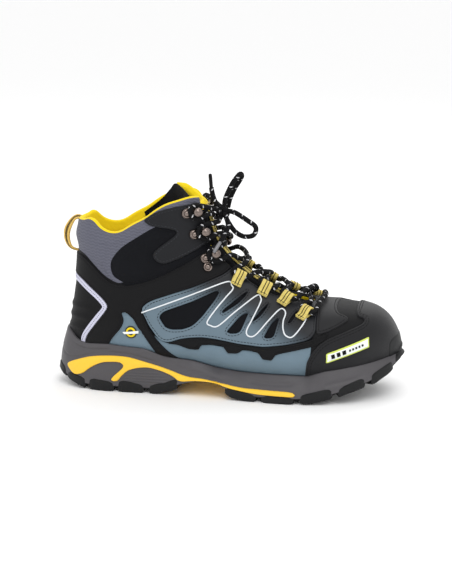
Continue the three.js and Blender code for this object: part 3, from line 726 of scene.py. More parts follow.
@dataclass
class Thread:
    """Stitches laid along lines on the surface."""

    pitch: float = 2.9
    length: float = 2.1
    radius: float = 0.27
    soup: Soup = field(default_factory=Soup)

    def sew(self, line: Array) -> None:
        """Lays stitches along a line.

        Args:
            line: points of the line.
        """
        even = resample(averaged(resample(line, 0.7), 8), self.pitch)
        if len(even) < SHORTEST:
            return
        tangent = unit(np.gradient(even, axis=0))
        ring = disc(self.radius, 5)
        for p, t in zip(even[:-1] + np.diff(even, axis=0) / 2, tangent[:-1]):
            spine = p + t * np.array([-0.5, -0.3, 0.3, 0.5])[:, None] * self.length
            verts, faces = sweep(spine, ring, scale=np.array([0.25, 1, 1, 0.25]))
            self.soup.add(verts, faces)


# ---------------------------------------------------------------- finishes


def linear(red: int, green: int, blue: int) -> tuple[float, float, float, float]:
    """A screen colour, each part 0 to 255, as the renderer's own values."""
    parts = [c / 255 for c in (red, green, blue)]
    return (*[c / 12.92 if c < 0.04045 else ((c + 0.055) / 1.055) ** 2.4 for c in parts], 1.0)


@dataclass
class Net:
    """Places shader nodes and wires them."""

    tree: bpy.types.NodeTree

    def put(self, kind: str, options: dict | None = None, **inputs: object) -> bpy.types.Node:
        """Adds a node.

        Args:
            kind: the node's type, without the Shader prefix.
            options: its own settings.
            **inputs: values or sockets for its inputs, by name, or by number as in _0.

        Returns:
            The node.
        """
        node = self.tree.nodes.new(kind if kind.startswith("Node") else "ShaderNode" + kind)
        for key, value in (options or {}).items():
            setattr(node, key, value)
        for key, value in inputs.items():
            socket = node.inputs[int(key[1:]) if key[0] == "_" else key.replace("_", " ")]
            if isinstance(value, bpy.types.NodeSocket):
                self.tree.links.new(value, socket)
            else:
                socket.default_value = value
        return node

    def sum(self, how: str, a: object, b: object = 0.0, c: object = 0.0) -> bpy.types.NodeSocket:
        """A sum of up to three values, such as MULTIPLY_ADD."""
        return self.put("Math", {"operation": how}, _0=a, _1=b, _2=c).outputs[0]

    def range(
        self, value: object, low: float, high: float, to_low: float = 0.0, to_high: float = 1.0
    ) -> bpy.types.NodeSocket:
        """A value moved smoothly from one range to another."""
        options = {"interpolation_type": "SMOOTHSTEP"}
        node = self.put("MapRange", options, Value=value, _1=low, _2=high, _3=to_low, _4=to_high)
        return node.outputs[0]

    def mix(self, factor: object, a: object, b: object) -> bpy.types.NodeSocket:
        """A colour between two."""
        return self.put("Mix", {"data_type": "RGBA"}, _0=factor, _6=a, _7=b).outputs[2]


def new_group(
    name: str, inputs: dict[str, float], outputs: tuple[str, ...]
) -> tuple[Net, bpy.types.Node, bpy.types.Node]:
    """An empty node group.

    Args:
        name: the group's name.
        inputs: number inputs with their usual values.
        outputs: number outputs.

    Returns:
        Its net and its input and output nodes.
    """
    tree = bpy.data.node_groups.new(name, "ShaderNodeTree")
    for key, value in inputs.items():
        socket = tree.interface.new_socket(key, in_out="INPUT", socket_type="NodeSocketFloat")
        socket.default_value = value
    for key in outputs:
        tree.interface.new_socket(key, in_out="OUTPUT", socket_type="NodeSocketFloat")
    net = Net(tree)
    return net, net.put("NodeGroupInput"), net.put("NodeGroupOutput")


def grain_group() -> bpy.types.NodeTree:
    """Fine pores and soft blotches of brushed leather, rubber or foam."""
    net, given, out = new_group("grain", {"Scale": 900.0, "Blotches": 40.0}, ("Height", "Tone"))
    place = net.put("TexCoord").outputs["Object"]
    fine = net.put("TexNoise", Vector=place, Scale=given.outputs[0], Detail=4.0, Roughness=0.7).outputs[0]
    cells = net.put("TexVoronoi", Vector=place, Scale=given.outputs[0]).outputs[0]
    broad = net.put("TexNoise", Vector=place, Scale=given.outputs[1], Detail=3.0, Roughness=0.6).outputs[0]
    net.tree.links.new(net.sum("MULTIPLY_ADD", cells, 0.5, fine), out.inputs[0])
    net.tree.links.new(net.sum("MULTIPLY_ADD", fine, 0.35, net.sum("MULTIPLY", broad, 0.65)), out.inputs[1])
    return net.tree


def weave_group() -> bpy.types.NodeTree:
    """Crossing yarns of a plain textile."""
    net, given, out = new_group("weave", {"Scale": 700.0, "Waviness": 1.0}, ("Height", "Tone"))
    place = net.put("TexCoord").outputs["Object"]
    scale = given.outputs[0]
    bands = []
    for turn in ((0.0, 0.0, 0.0), (0.0, 1.5708, 0.0)):
        turned_place = net.put("Mapping", Vector=place, Rotation=turn).outputs[0]
        options = {"bands_direction": "X"}
        wave = net.put("TexWave", options, Vector=turned_place, Scale=scale, Distortion=given.outputs[1], Detail=1.0)
        bands.append(wave.outputs[1])
    crossed = net.sum("MULTIPLY_ADD", bands[0], bands[1], net.sum("MULTIPLY", bands[0], 0.4))
    broad = net.put("TexNoise", Vector=place, Scale=60.0, Detail=3.0).outputs[0]
    net.tree.links.new(crossed, out.inputs[0])
    net.tree.links.new(net.sum("MULTIPLY_ADD", crossed, 0.5, net.sum("MULTIPLY", broad, 0.5)), out.inputs[1])
    return net.tree


def ripple_group() -> bpy.types.NodeTree:
    """Wavy knitted rows, as on a stretch collar."""
    net, given, out = new_group("ripple", {"Scale": 1.0, "Wave": 1.1}, ("Height", "Tone"))
    place = net.put("TexCoord").outputs["Object"]
    axes = net.put("SeparateXYZ", Vector=place)
    drift = net.put("TexNoise", Vector=place, Scale=90.0, Detail=1.0).outputs[0]
    across = net.sum("MULTIPLY_ADD", axes.outputs[0], 1350.0, net.sum("MULTIPLY", drift, 5.0))
    wave = net.sum("MULTIPLY", net.sum("SINE", across), given.outputs[1])
    lifted = net.sum("MULTIPLY_ADD", axes.outputs[0], 350.0, wave)
    rows = net.sum("SINE", net.sum("MULTIPLY_ADD", axes.outputs[2], 2300.0, lifted))
    level = net.sum("MULTIPLY_ADD", rows, 0.5, 0.5)
    fine = net.put("TexNoise", Vector=place, Scale=1400.0, Detail=2.0).outputs[0]
    net.tree.links.new(net.sum("MULTIPLY_ADD", fine, 0.3, level), out.inputs[0])
    net.tree.links.new(net.sum("MULTIPLY_ADD", fine, 0.4, net.sum("MULTIPLY", level, 0.6)), out.inputs[1])
    return net.tree


def braid_group() -> bpy.types.NodeTree:
    """Braided yarns of a round lace, with short light flecks; needs a map along and around the lace."""
    net, _, out = new_group("braid", {"Scale": 1.0}, ("Height", "Flecks"))
    axes = net.put("SeparateXYZ", Vector=net.put("UVMap").outputs[0])
    along, around = axes.outputs[0], axes.outputs[1]
    yarns = []
    for turn in (1.0, -1.0):
        phase = net.sum("MULTIPLY_ADD", around, turn * 25.13, net.sum("MULTIPLY", along, 25.0))
        yarns.append(net.sum("SINE", phase, 0.0))
    height = net.sum("MULTIPLY", yarns[0], yarns[1])
    tracer = net.sum("FRACT", net.sum("MULTIPLY_ADD", along, 1.05, net.sum("MULTIPLY", around, 1.0)), 0.0)
    band = net.sum("LESS_THAN", tracer, 0.13)
    dash = net.sum("GREATER_THAN", net.sum("SINE", net.sum("MULTIPLY", along, 19.0), 0.0), 0.1)
    net.tree.links.new(height, out.inputs[0])
    net.tree.links.new(net.sum("MULTIPLY", band, dash), out.inputs[1])
    return net.tree


def fade_group() -> bpy.types.NodeTree:
    """A soft change across the boot, along a side-view direction."""
    names = {"Across": 0.0, "Up": 1.0, "Start": 0.0, "End": 0.01}
    net, given, out = new_group("fade", names, ("Factor",))
    axes = net.put("SeparateXYZ", Vector=net.put("TexCoord").outputs["Object"])
    level = net.sum("MULTIPLY", axes.outputs[0], given.outputs[0])
    rise = net.sum("MULTIPLY_ADD", axes.outputs[2], given.outputs[1], level)
    options = {"interpolation_type": "SMOOTHSTEP"}
    smooth = net.put("MapRange", options, Value=rise, _1=given.outputs[2], _2=given.outputs[3])
    net.tree.links.new(smooth.outputs[0], out.inputs[0])
    return net.tree


@dataclass(frozen=True)
class Finish:
    """One surface finish."""

    name: str
    colour: tuple[int, int, int]
    roughness: float = 0.7
    texture: str = "grain"
    scale: float = 900.0
    depth: float = 0.0002
    contrast: float = 0.25
    metallic: float = 0.0
    sheen: float = 0.0
    coat: float = 0.0
    specular: float = 0.5
    fade_to: tuple[int, int, int] | None = None
    fade_line: tuple[float, float, float, float] = (0.0, 1.0, 0.0, 0.01)
    flecks: tuple[int, int, int] | None = None


class Look(Enum):
    """The finishes of the boot."""

    NUBUCK = Finish("black_nubuck", (11, 11, 13), 0.62, scale=1500, depth=0.00012, contrast=0.5, sheen=0.03, specular=0.16)
    HOOK_STAY = Finish("smooth_nubuck", (19, 20, 24), 0.5, scale=1100, depth=0.00012, contrast=0.4, sheen=0.04, specular=0.22)
    TOE_NUBUCK = Finish("toe_nubuck", (18, 18, 21), 0.56, scale=1300, depth=0.0001, contrast=0.4, sheen=0.08, specular=0.25)
    TEXTILE = Finish("black_textile", (15, 16, 20), 0.9, "weave", 420, 0.00012, 0.4, sheen=0.04, specular=0.15)
    CUFF = Finish("grey_textile", (92, 93, 105), 0.75, "ripple", 1.0, 0.0003, 0.14, sheen=0.08, specular=0.2)
    QUARTER = Finish(
        "blue_grey", (97, 115, 127), 0.5, scale=1200, depth=0.0001, contrast=0.12, specular=0.35,
        fade_to=(20, 22, 27), fade_line=(0.46, 1.0, 0.066, 0.098),
    )
    SIDE = Finish("blue_grey_side", (106, 126, 139), 0.6, "weave", 330, 0.00014, 0.16, specular=0.3)
    LINING = Finish("yellow_lining", (246, 213, 22), 0.85, "weave", 500, 0.00012, 0.14, sheen=0.1, specular=0.2)
    MOULDED = Finish("yellow_moulded", (246, 197, 52), 0.4, scale=500, depth=0.00004, contrast=0.05, coat=0.1, specular=0.35)
    FOAM = Finish("grey_foam", (76, 74, 77), 0.5, scale=700, depth=0.00006, contrast=0.14, specular=0.35)
    RUBBER = Finish("rubber", (13, 14, 16), 0.55, scale=600, depth=0.0001, contrast=0.3, specular=0.3)
    WEBBING = Finish("webbing", (244, 218, 124), 0.75, "weave", 900, 0.0002, 0.18, specular=0.2)
    PULL = Finish("pull_webbing", (240, 196, 104), 0.75, "weave", 900, 0.0002, 0.2, specular=0.2)
    REFLECTIVE = Finish("reflective", (198, 198, 218), 0.4, "weave", 600, 0.00005, 0.08)
    PIPING = Finish("white_piping", (226, 230, 234), 0.45, scale=800, depth=0.00004, contrast=0.05)
    GUNMETAL = Finish("gunmetal", (128, 116, 110), 0.22, scale=300, depth=0.00002, contrast=0.25, metallic=1.0)
    LACE = Finish(
        "lace_cord", (17, 17, 19), 0.8, "braid", depth=0.0005, contrast=0.3, specular=0.2, flecks=(215, 215, 218),
    )
    THREAD = Finish("black_thread", (9, 9, 11), 0.7, scale=2500, depth=0.00006, contrast=0.4, specular=0.2)
    GREY_THREAD = Finish("grey_thread", (52, 54, 58), 0.7, scale=2500, depth=0.00006, contrast=0.4, specular=0.2)
    BOARD = Finish("board", (201, 180, 138), 0.85, scale=500, depth=0.0001, contrast=0.2)
    LABEL = Finish("label_face", (236, 240, 238), 0.45, "weave", 700, 0.00003, 0.04)
    LABEL_EDGE = Finish("label_edge", (206, 220, 96), 0.5, scale=900, depth=0.00003, contrast=0.06)
    BADGE_RING = Finish("badge_ring", (44, 46, 30), 0.5, scale=900, depth=0.00003, contrast=0.2)
    AGLET = Finish("aglet", (112, 112, 116), 0.35, scale=600, depth=0.00002, contrast=0.1, coat=0.3)
    FLOOR = Finish("floor", (252, 252, 252), 0.8, scale=40, depth=0.0, contrast=0.01, specular=0.1)


class Paints:
    """Builds each finish's material once."""

    def __init__(self) -> None:
        """Makes the shared node groups."""
        self.groups = {
            "grain": grain_group(),
            "weave": weave_group(),
            "ripple": ripple_group(),
            "braid": braid_group(),
            "fade": fade_group(),
        }
        self.made: dict[Look, bpy.types.Material] = {}

    def __getitem__(self, look: Look) -> bpy.types.Material:
        """The material of a finish."""
        if look not in self.made:
            self.made[look] = self.build(look.value)
        return self.made[look]

    def build(self, finish: Finish) -> bpy.types.Material:
        """Wires a material.

        Args:
            finish: what it looks like.

        Returns:
            The material.
        """
        material = bpy.data.materials.new(finish.name)
        material.use_nodes = True
        net = Net(material.node_tree)
        shader = material.node_tree.nodes["Principled BSDF"]
        group = net.put("Group", {"node_tree": self.groups[finish.texture]})
        if finish.texture != "braid":
            group.inputs[0].default_value = finish.scale
        colour = np.array(linear(*finish.colour))
        swing = np.array([1, 1, 1, 0]) * finish.contrast
        dark, light = tuple(colour * (1 - swing)), tuple(np.minimum(colour * (1 + swing), 1))
        shade = net.mix(group.outputs[1] if finish.texture != "braid" else group.outputs[0], dark, light)
        if finish.fade_to:
            across, up, start, end = finish.fade_line
            fade = net.put("Group", {"node_tree": self.groups["fade"]}, Across=across, Up=up, Start=start, End=end)
            shade = net.mix(fade.outputs[0], shade, linear(*finish.fade_to))
        if finish.flecks:
            shade = net.mix(group.outputs[1], shade, linear(*finish.flecks))
        net.tree.links.new(shade, shader.inputs["Base Color"])
        dull, bright = min(finish.roughness + 0.08, 1.0), max(finish.roughness - 0.06, 0.05)
        rough = net.range(group.outputs[0], 0.0, 1.2, dull, bright)
        net.tree.links.new(rough, shader.inputs["Roughness"])
        if finish.depth:
            bump = net.put("Bump", Strength=0.9, Distance=finish.depth, Height=group.outputs[0])
            net.tree.links.new(bump.outputs[0], shader.inputs["Normal"])
        values = {"Metallic": finish.metallic, "Sheen Weight": finish.sheen, "Coat Weight": finish.coat}
        for key, value in (values | {"Specular IOR Level": finish.specular, "Sheen Roughness": 0.5}).items():
            shader.inputs[key].default_value = value
        return material


# ---------------------------------------------------------------- the studio


@dataclass
class Studio:
    """Camera, lights and floor."""

    target: tuple = (0.0035, -0.001, 0.085)
    azimuth: float = 10.0
    elevation: float = 13.0
    distance: float = 1.4
    lens: float = 126.56

    def build(self, paints: Paints) -> None:
        """Sets up the whole studio."""
        self.camera()
        self.lights()
        self.floor(paints)
        bpy.context.scene.view_settings.view_transform = "Standard"

    def camera(self) -> None:
        """Places the camera at the viewing angle."""
        az, el = math.radians(self.azimuth), math.radians(self.elevation)
        back = Vector((math.sin(az) * math.cos(el), -math.cos(az) * math.cos(el), math.sin(el)))
        data = bpy.data.cameras.new("camera")
        data.lens, data.sensor_width, data.sensor_fit = self.lens, 36, "HORIZONTAL"
        data.shift_x = -0.0155
        data.clip_start, data.clip_end = 0.05, 50
        camera = bpy.data.objects.new("camera", data)
        camera.location = Vector(self.target) + back * self.distance
        camera.rotation_euler = back.to_track_quat("Z", "Y").to_euler()
        bpy.context.scene.collection.objects.link(camera)
        bpy.context.scene.camera = camera

    def lights(self) -> None:
        """Hangs the soft boxes and sets the sky."""
        boxes = {
            "key": ((0.4, -0.9, 1.4), 0.9, 7),
            "fill": ((-1.2, -0.9, 0.8), 1.2, 1.5),
            "back": ((0.2, 1.0, 1.3), 1.0, 5),
        }
        for name, (place, size, power) in boxes.items():
            light = bpy.data.lights.new(name, "AREA")
            light.size, light.energy = size, power
            lamp = bpy.data.objects.new(name, light)
            lamp.location = place
            lamp.rotation_euler = (Vector(place) - Vector((0, 0, 0.08))).to_track_quat("Z", "Y").to_euler()
            bpy.context.scene.collection.objects.link(lamp)
        world = bpy.data.worlds.new("sky")
        world.use_nodes = True
        sky = world.node_tree.nodes["Background"]
        sky.inputs["Color"].default_value = (1, 1, 1, 1)
        sky.inputs["Strength"].default_value = 1.0
        bpy.context.scene.world = world

    def floor(self, paints: Paints) -> None:
        """Lays a large pale floor."""
        corners = [(-8, -8, 0), (8, -8, 0), (8, 12, 0), (-8, 12, 0)]
        make_object("floor", corners, [[0, 1, 2, 3]], paints[Look.FLOOR])


# ---------------------------------------------------------------- the upper

COLLAR = [
    (-10, 149), (18, 150), (26, 152), (32, 150.5), (39, 144.5), (47, 141.5), (56, 142.5), (67, 149),
    (79, 155.5), (88, 162), (97, 167), (108, 170.5), (118, 173), (126, 172), (131, 166), (136, 156),
]
SET_BACK = 11.0  # how much further back the collar's inner side is
FEATHER = [
    (-10, 38), (14, 35), (50, 31.5), (100, 28.5), (150, 21.5), (195, 17.5), (230, 18), (255, 21),
    (274, 25.5), (290, 31), (315, 40),
]
THROAT = [
    (117, -17), (150, -16.5), (185, -14.5), (212, -11), (221, -6), (223, 3), (221, 12), (212, 18),
    (185, 20), (150, 19), (117, 17),
]
OUTLINES = {
    "collar_cuff": [
        (-8, 230), (160, 230), (160, 160), (118, 160), (100, 152), (87, 147), (74, 139), (57, 128),
        (48, 117), (47, 110), (49, 103), (55, 99), (61, 96.5), (51, 97), (40, 103), (29, 113), (21, 120), (-8, 125),
    ],
    "ankle_pad": [
        (61, 96.5), (48, 100), (44, 120), (87, 150), (118, 163), (165, 160), (146, 138), (131, 128),
        (112, 116), (95, 107), (78, 100),
    ],
    "heel_panel": [
        (-10, 125), (21, 120), (29, 113), (40, 103), (51, 97), (61, 96), (51, 75), (47, 60), (36, 42), (33, 0), (-10, 0),
    ],
    "vamp": [(222, 110), (227, 70), (226, 56), (221, 0), (320, 0), (320, 110)],
    "side_panel": [
        (30, 0), (36, 42), (47, 60), (56, 76), (75, 60), (98, 45), (129, 48), (163, 44), (204, 46), (230, 54), (230, 0),
    ],
    "mesh_panel": [(45, 60), (50, 120), (150, 160), (240, 110), (240, 40), (98, 40), (75, 55)],
    "heel_overlay": [
        (-8, 121), (21, 117.5), (30, 110.5), (41, 100.5), (51, 95), (62, 94.5), (78, 98), (95, 105), (112, 114),
        (131, 126), (146, 137), (158, 118), (148, 107), (120, 95), (99, 88), (82, 82), (76, 77.5), (75, 73),
        (80, 61), (89, 49), (103, 35), (116, 27), (116, 0), (88, 0), (90, 34), (79, 50), (72, 60), (66, 70),
        (57, 72), (60, 64), (57, 57), (50, 49), (45, 42), (42, 0), (22, 0), (22, 41), (25, 48), (32, 57),
        (40, 67), (45, 74), (44, 78), (38, 84), (30, 90), (18, 98), (-8, 106),
    ],
    "heel_reflective_strip": [
        (-8, 105.7), (18, 97.7), (29, 90), (38, 83.6), (44, 77.6), (44.6, 74), (39.6, 67), (31.6, 57), (24.6, 48),
        (21.6, 41), (21, 0), (17, 0), (17.5, 42), (20, 49), (27, 58.5), (35, 68.5), (40, 74), (39.5, 76),
        (34, 81), (26, 86.5), (15, 93.5), (-8, 101),
    ],
    "midfoot_band": [
        (99, 46), (112, 50.7), (129, 52.7), (142, 51.7), (163, 48.7), (184, 47.7), (204, 50.7), (224, 55.7),
        (240, 62), (236, 55), (225, 50), (198, 43), (195, 42), (192, 37), (184, 37.5), (180, 43),
        (167, 45), (162, 41), (153, 40.5), (148, 47), (138, 47), (129, 46), (127, 42), (118, 42), (109, 45),
    ],
    "quarter_frame": [
        (75.5, 73), (77, 78), (84, 82.5), (99, 88.5), (120, 95.5), (148, 107.5), (160, 117), (236, 100),
        (230, 74), (229, 62), (224, 56), (204, 51), (184, 48), (163, 49), (142, 52), (129, 53), (112, 51),
        (99, 46.3), (91, 49), (82, 61),
    ],
    "toe_cover": [
        (216, 0), (222, 38), (227, 46), (233, 53.5), (240, 57.5), (250, 61.5), (260, 65), (268, 68), (268, 71),
        (261, 73), (259, 100), (320, 100), (320, 0),
    ],
    "vamp_overlay": [
        (229, 61), (233, 60.5), (240, 63), (249, 67), (255, 70.5), (254, 73), (244, 75.5), (238, 90), (215, 110),
        (228, 76),
    ],
    "hook_stay": [
        (79, 151), (78, 153), (80, 155.5), (87, 159.5), (97, 163), (112, 166), (122, 166.8), (127, 165), (150, 160),
        (150, 142), (131, 132.5), (121, 126), (107, 119), (97, 115), (92, 115), (87, 118), (85, 122),
        (87, 126), (97, 134), (105, 140), (106, 143), (103, 145), (89, 147), (83, 148),
    ],
    "toe_bumper": [(288, 49), (290, 52), (294, 53.5), (315, 54), (315, 10), (287, 10), (287.5, 34), (287.5, 44)],
    "toe_label": [(238, 45), (272, 57.5), (272.5, 49), (238, 36.5)],
}
WINDOWS = [
    [(91, 69), (95, 73.5), (120, 83), (141, 92.5), (143, 91), (140, 85), (129, 70), (121, 62), (112, 58.5), (99, 58), (95, 62)],
    [(145, 72), (148, 77), (158, 85), (168, 92), (160, 82)],
    [(151, 58.5), (162, 71.5), (169, 75), (168, 71), (163, 58), (154, 57)],
    [(172, 66), (176, 72), (186, 82), (180, 72)],
    [(184, 56), (190, 67), (196, 71.5), (193, 56), (186, 55)],
    [(204, 66), (206, 71), (212, 77), (208, 69)],
]
PIPING = [
    (76, 72), (112, 86), (147, 99), (153, 96), (154, 93), (149, 87), (141, 77), (134, 66), (137, 63),
    (144, 63), (158, 75), (174, 87), (178, 85), (178, 81), (173, 69), (169, 60), (171, 56), (177, 57), (187, 68),
    (195, 76), (199, 76), (201, 73), (200, 68), (201, 62), (204, 58), (210, 58), (219, 69), (219, 76),
]
CORNERS = {"midfoot_band": 0.4, "toe_label": 0.2, "quarter_frame": 2.5, "heel_overlay": 2.5, "toe_cover": 2.5}
STRIP_LINE = [
    (-4, 102.5), (5, 99.5), (16.5, 95.6), (27.5, 88.2), (36, 82.4), (41.8, 76.5), (41.8, 73.5), (37.4, 67.8),
    (29.4, 57.8), (22.3, 48.5), (19.3, 41.5),
]
BADGE = (66.0, 54.0, 5.5)
LABEL_LINE = [(238.0, 40.8), (272.3, 53.2)]
LABEL_BARS = [(start, 3.0, 1.7) for start in (4.2, 9.0, 13.8)] + [(19.6 + 2.6 * i, 1.4, 0.8) for i in range(5)]
RIBS = (53.0, 63.0, 72.0)
OVERLAY = 1.7  # height of the stitched panels over the last
LINING_DEPTH = 4.9
ABOVE_FOOTBED = 52.0  # the throat is cut only above this height
RIM = 1.1  # how far the panels stop short of the collar's edge


@dataclass(frozen=True)
class Panel:
    """One cut piece of the upper."""

    name: str
    look: Look
    side: Side = Side.BOTH
    base: float = 0.3
    rise: float = 1.4
    edge: float = 0.9
    puff: float = 0.0
    reach: float = 9.0
    rows: tuple[float, ...] = (2.0,)
    thread: Look = Look.THREAD
    windows: bool = False
    over: tuple[str, ...] = ()
    soft: bool = False


BASE = {"base": -0.3, "rise": 0.5, "edge": 0.5, "rows": ()}
BACK = ("collar_cuff", "heel_panel")
FRAMED = ("heel_overlay", "toe_cover", "vamp_overlay")


def pair(name: str, look: Look, **options: object) -> list[Panel]:
    """The same panel on the outer and the inner side."""
    return [Panel(name, look, side, **options) for side in (Side.OUTER, Side.INNER)]


PANELS = [
    Panel("collar_cuff", Look.CUFF, puff=2.2, reach=14, soft=True, **BASE),
    Panel("heel_panel", Look.NUBUCK, over=("collar_cuff",), **BASE),
    Panel("vamp", Look.NUBUCK, **BASE),
    *pair("ankle_pad", Look.TEXTILE, puff=1.8, over=BACK, soft=True, **BASE),
    *pair("side_panel", Look.SIDE, over=("heel_panel", "vamp"), **BASE),
    *pair("mesh_panel", Look.TEXTILE, over=(*BACK, "vamp", "ankle_pad", "side_panel"), **BASE),
    Panel("heel_reflective_strip", Look.REFLECTIVE, rise=1.0, edge=0.5, rows=()),
    Panel("heel_overlay", Look.NUBUCK, over=("heel_reflective_strip",)),
    Panel("toe_cover", Look.TOE_NUBUCK, rows=(1.8, 3.8)),
    Panel("vamp_overlay", Look.TOE_NUBUCK, over=("toe_cover",)),
    *pair("midfoot_band", Look.NUBUCK, over=FRAMED),
    *pair("quarter_frame", Look.QUARTER, windows=True, over=(*FRAMED, "midfoot_band")),
    *pair("hook_stay", Look.HOOK_STAY, over=("heel_overlay",), thread=Look.GREY_THREAD),
    Panel("toe_bumper", Look.RUBBER, base=1.2, rise=0.9, edge=2.6, rows=()),
]


@dataclass
class Upper:
    """Everything stitched over the last."""

    form: Form
    paints: Paints
    threads: dict[Look, Thread] = field(default_factory=dict)
    rows: int = 330
    cols: int = 220

    def __post_init__(self) -> None:
        """Lays the fine grid and its distance fields."""
        turn = (np.arange(self.cols) + 0.5) * 2 * math.pi / self.cols
        fine = np.linspace(0, 1, 1200)
        walk = self.form.point(fine, np.full(1200, 1.4))
        run = np.concatenate([[0], np.cumsum(np.linalg.norm(np.diff(walk, axis=0), axis=1))])
        along = np.interp(np.linspace(0, run[-1], self.rows), run, fine)
        a, b = (g.ravel() for g in np.meshgrid(along, turn, indexing="ij"))
        shape = (self.rows, self.cols, 3)
        points, normals = self.form.point(a, b).reshape(shape), self.form.normal(a, b).reshape(shape)
        points, normals = self.closed_toe(points, normals)
        self.shape = points.shape[:2]
        self.patch = wrapped_grid(points, normals)
        self.grid = points
        self.fields: dict[str, Array] = {}
        self.lay_fields()

    def closed_toe(self, points: Array, normals: Array) -> tuple[Array, Array]:
        """Adds rings that close the toe in a low dome."""
        last, before = points[-1], points[-2]
        centre = last.mean(0)
        ahead = unit(centre - before.mean(0))
        rings, outs = [], []
        for f in (0.12, 0.25, 0.4, 0.55, 0.7, 0.84, 0.96):
            c, s = math.cos(f * math.pi / 2), math.sin(f * math.pi / 2)
            rings.append(centre + (last - centre) * c + ahead * 2.2 * s)
            outs.append(unit(normals[-1] * c + ahead * s))
        return np.concatenate([points, rings]), np.concatenate([normals, outs])

    def lay_fields(self) -> None:
        """Works out how far each grid point is inside each edge."""
        side_view, plan = self.patch.points[:, [0, 2]], self.patch.points[:, :2]
        collar = spline(np.array(COLLAR), 2.0).tolist() + [(160, 156), (160, 230), (-10, 230)]
        feather = FEATHER + [(315, -10), (-10, -10)]
        turned_in = side_view + [SET_BACK, 0] * smoothstep(2, 24, self.patch.points[:, 1])[:, None]
        self.add("collar", -inside_distance(turned_in, np.array(collar)))
        self.add("feather", -inside_distance(side_view, np.array(feather)))
        throat = -inside_distance(plan, rounded(THROAT))
        self.add("throat", np.where(self.patch.points[:, 2] > ABOVE_FOOTBED, throat, FAR))
        self.add("OUTER", -self.patch.points[:, 1])
        self.add("INNER", self.patch.points[:, 1])
        for name, outline in OUTLINES.items():
            self.add(name, inside_distance(side_view, rounded(outline, CORNERS.get(name, 4.0))))
        self.add("windows", np.max([inside_distance(side_view, rounded(w, 1.7)) for w in WINDOWS], axis=0))

    def add(self, name: str, values: Array) -> None:
        """Keeps a field, corrected so that it measures along the surface."""
        rate = slope(values.reshape(self.shape), self.grid).ravel()
        self.fields[name] = values / rate

    def thread(self, look: Look) -> Thread:
        """The thread of a finish."""
        return self.threads.setdefault(look, Thread())

    def build(self) -> None:
        """Makes every panel, its stitches and its trim."""
        for panel in PANELS:
            self.panel(panel)
        self.lining()
        self.strip_dots()
        self.piping()
        self.label()
        self.label_marks()
        self.badge()
        for look, thread in self.threads.items():
            piece = thread.soup.make(f"stitches_{look.value.name}", self.form, self.paints[look])
            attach(piece, "boot")

    def reach(self, panel: Panel) -> Array:
        """How far each grid point is inside a panel."""
        parts = [self.fields[panel.name]]
        if panel.name != "toe_bumper":
            parts += [self.fields["feather"], self.fields["collar"] - RIM, self.fields["throat"] - 0.3]
        if panel.side is not Side.BOTH:
            parts.append(self.fields[panel.side.name])
        parts += [-self.fields[name] for name in panel.over]
        if panel.windows:
            parts.append(-self.fields["windows"])
        return np.min(parts, axis=0)

    def panel(self, panel: Panel) -> None:
        """Makes one panel.

        Args:
            panel: what it is.
        """
        patch = self.patch.copy()
        border = np.minimum(self.fields["collar"], self.fields["throat"])
        patch.fields = {"in": self.reach(panel), "border": border, "stay": self.fields["hook_stay"]}
        patch.keep("in")
        patch.tidy()
        for level in (0.15 * panel.edge, 0.5 * panel.edge, panel.edge):
            patch.cut("in", level)
        seams = []
        for row in panel.rows:
            patch.cut("in", row - 0.5)
            seams.append(patch.cut("in", row))
            patch.cut("in", row + 0.5)
        inside, border = patch.fields["in"], patch.fields["border"]
        height = panel.base + self.height(panel, inside, patch.points, patch.fields["stay"])
        half = LINING_DEPTH / 2
        height -= half * (1 - rolled(border, half))
        verts, faces = patch.solid(height, panel.base - 0.6)
        for seam in seams:
            for line in chains(seam, patch.points + patch.normals * (height + 0.12)[:, None]):
                self.thread(panel.thread).sew(line)
        tail = "" if panel.side is Side.BOTH else "_" + panel.side.name.lower()
        name = panel.name + tail
        piece = make_object(f"{name}_piece", self.form.place(verts), faces, self.paints[panel.look])
        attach(piece, "boot")
        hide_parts(name)

    def height(self, panel: Panel, inside: Array, points: Array, stay: Array) -> Array:
        """A panel's height over its base: rolled edge, padding, stitch grooves and creases."""
        flattened = 0.1 + 0.9 * smoothstep(0, 7, -stay)
        out = panel.rise * rolled(inside, panel.edge) + panel.puff * smoothstep(0.2, panel.reach, inside) * flattened
        for row in panel.rows:
            out -= 0.22 * np.exp(-(((inside - row) / 0.4) ** 2))
        if panel.name == "heel_panel":
            back = 1 - smoothstep(22, 34, points[:, 0])
            for z in RIBS:
                out += 0.9 * back * np.exp(-(((points[:, 2] - z) / 2.4) ** 2))
        return out

    def lining(self) -> None:
        """Makes the soft lining, which rolls over the collar and the throat's edges."""
        patch = self.patch.copy()
        patch.fields = {"in": np.minimum(self.fields["collar"], self.fields["throat"])}
        patch.keep("in")
        patch.tidy()
        half = LINING_DEPTH / 2
        for level in (0.15, 0.5, 1.1, 1.9, half):
            patch.cut("in", level)
        inside = patch.fields["in"]
        swell = rolled(inside, half)
        soft = 1.2 * smoothstep(0, 12, inside) * (patch.points[:, 2] > 90)
        outer = patch.points + patch.normals * (-half + half * swell)[:, None]
        inner = patch.points + patch.normals * (-half - half * swell - soft)[:, None]
        near = patch.faces[inside[patch.faces].max(1) < 2.0]
        faces = lined_faces(inside, near, patch.faces)
        verts = np.vstack([outer, inner])
        piece = make_object("soft_lining", self.form.place(verts), faces, self.paints[Look.LINING], 80)
        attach(piece, "boot")
        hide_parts("lining")

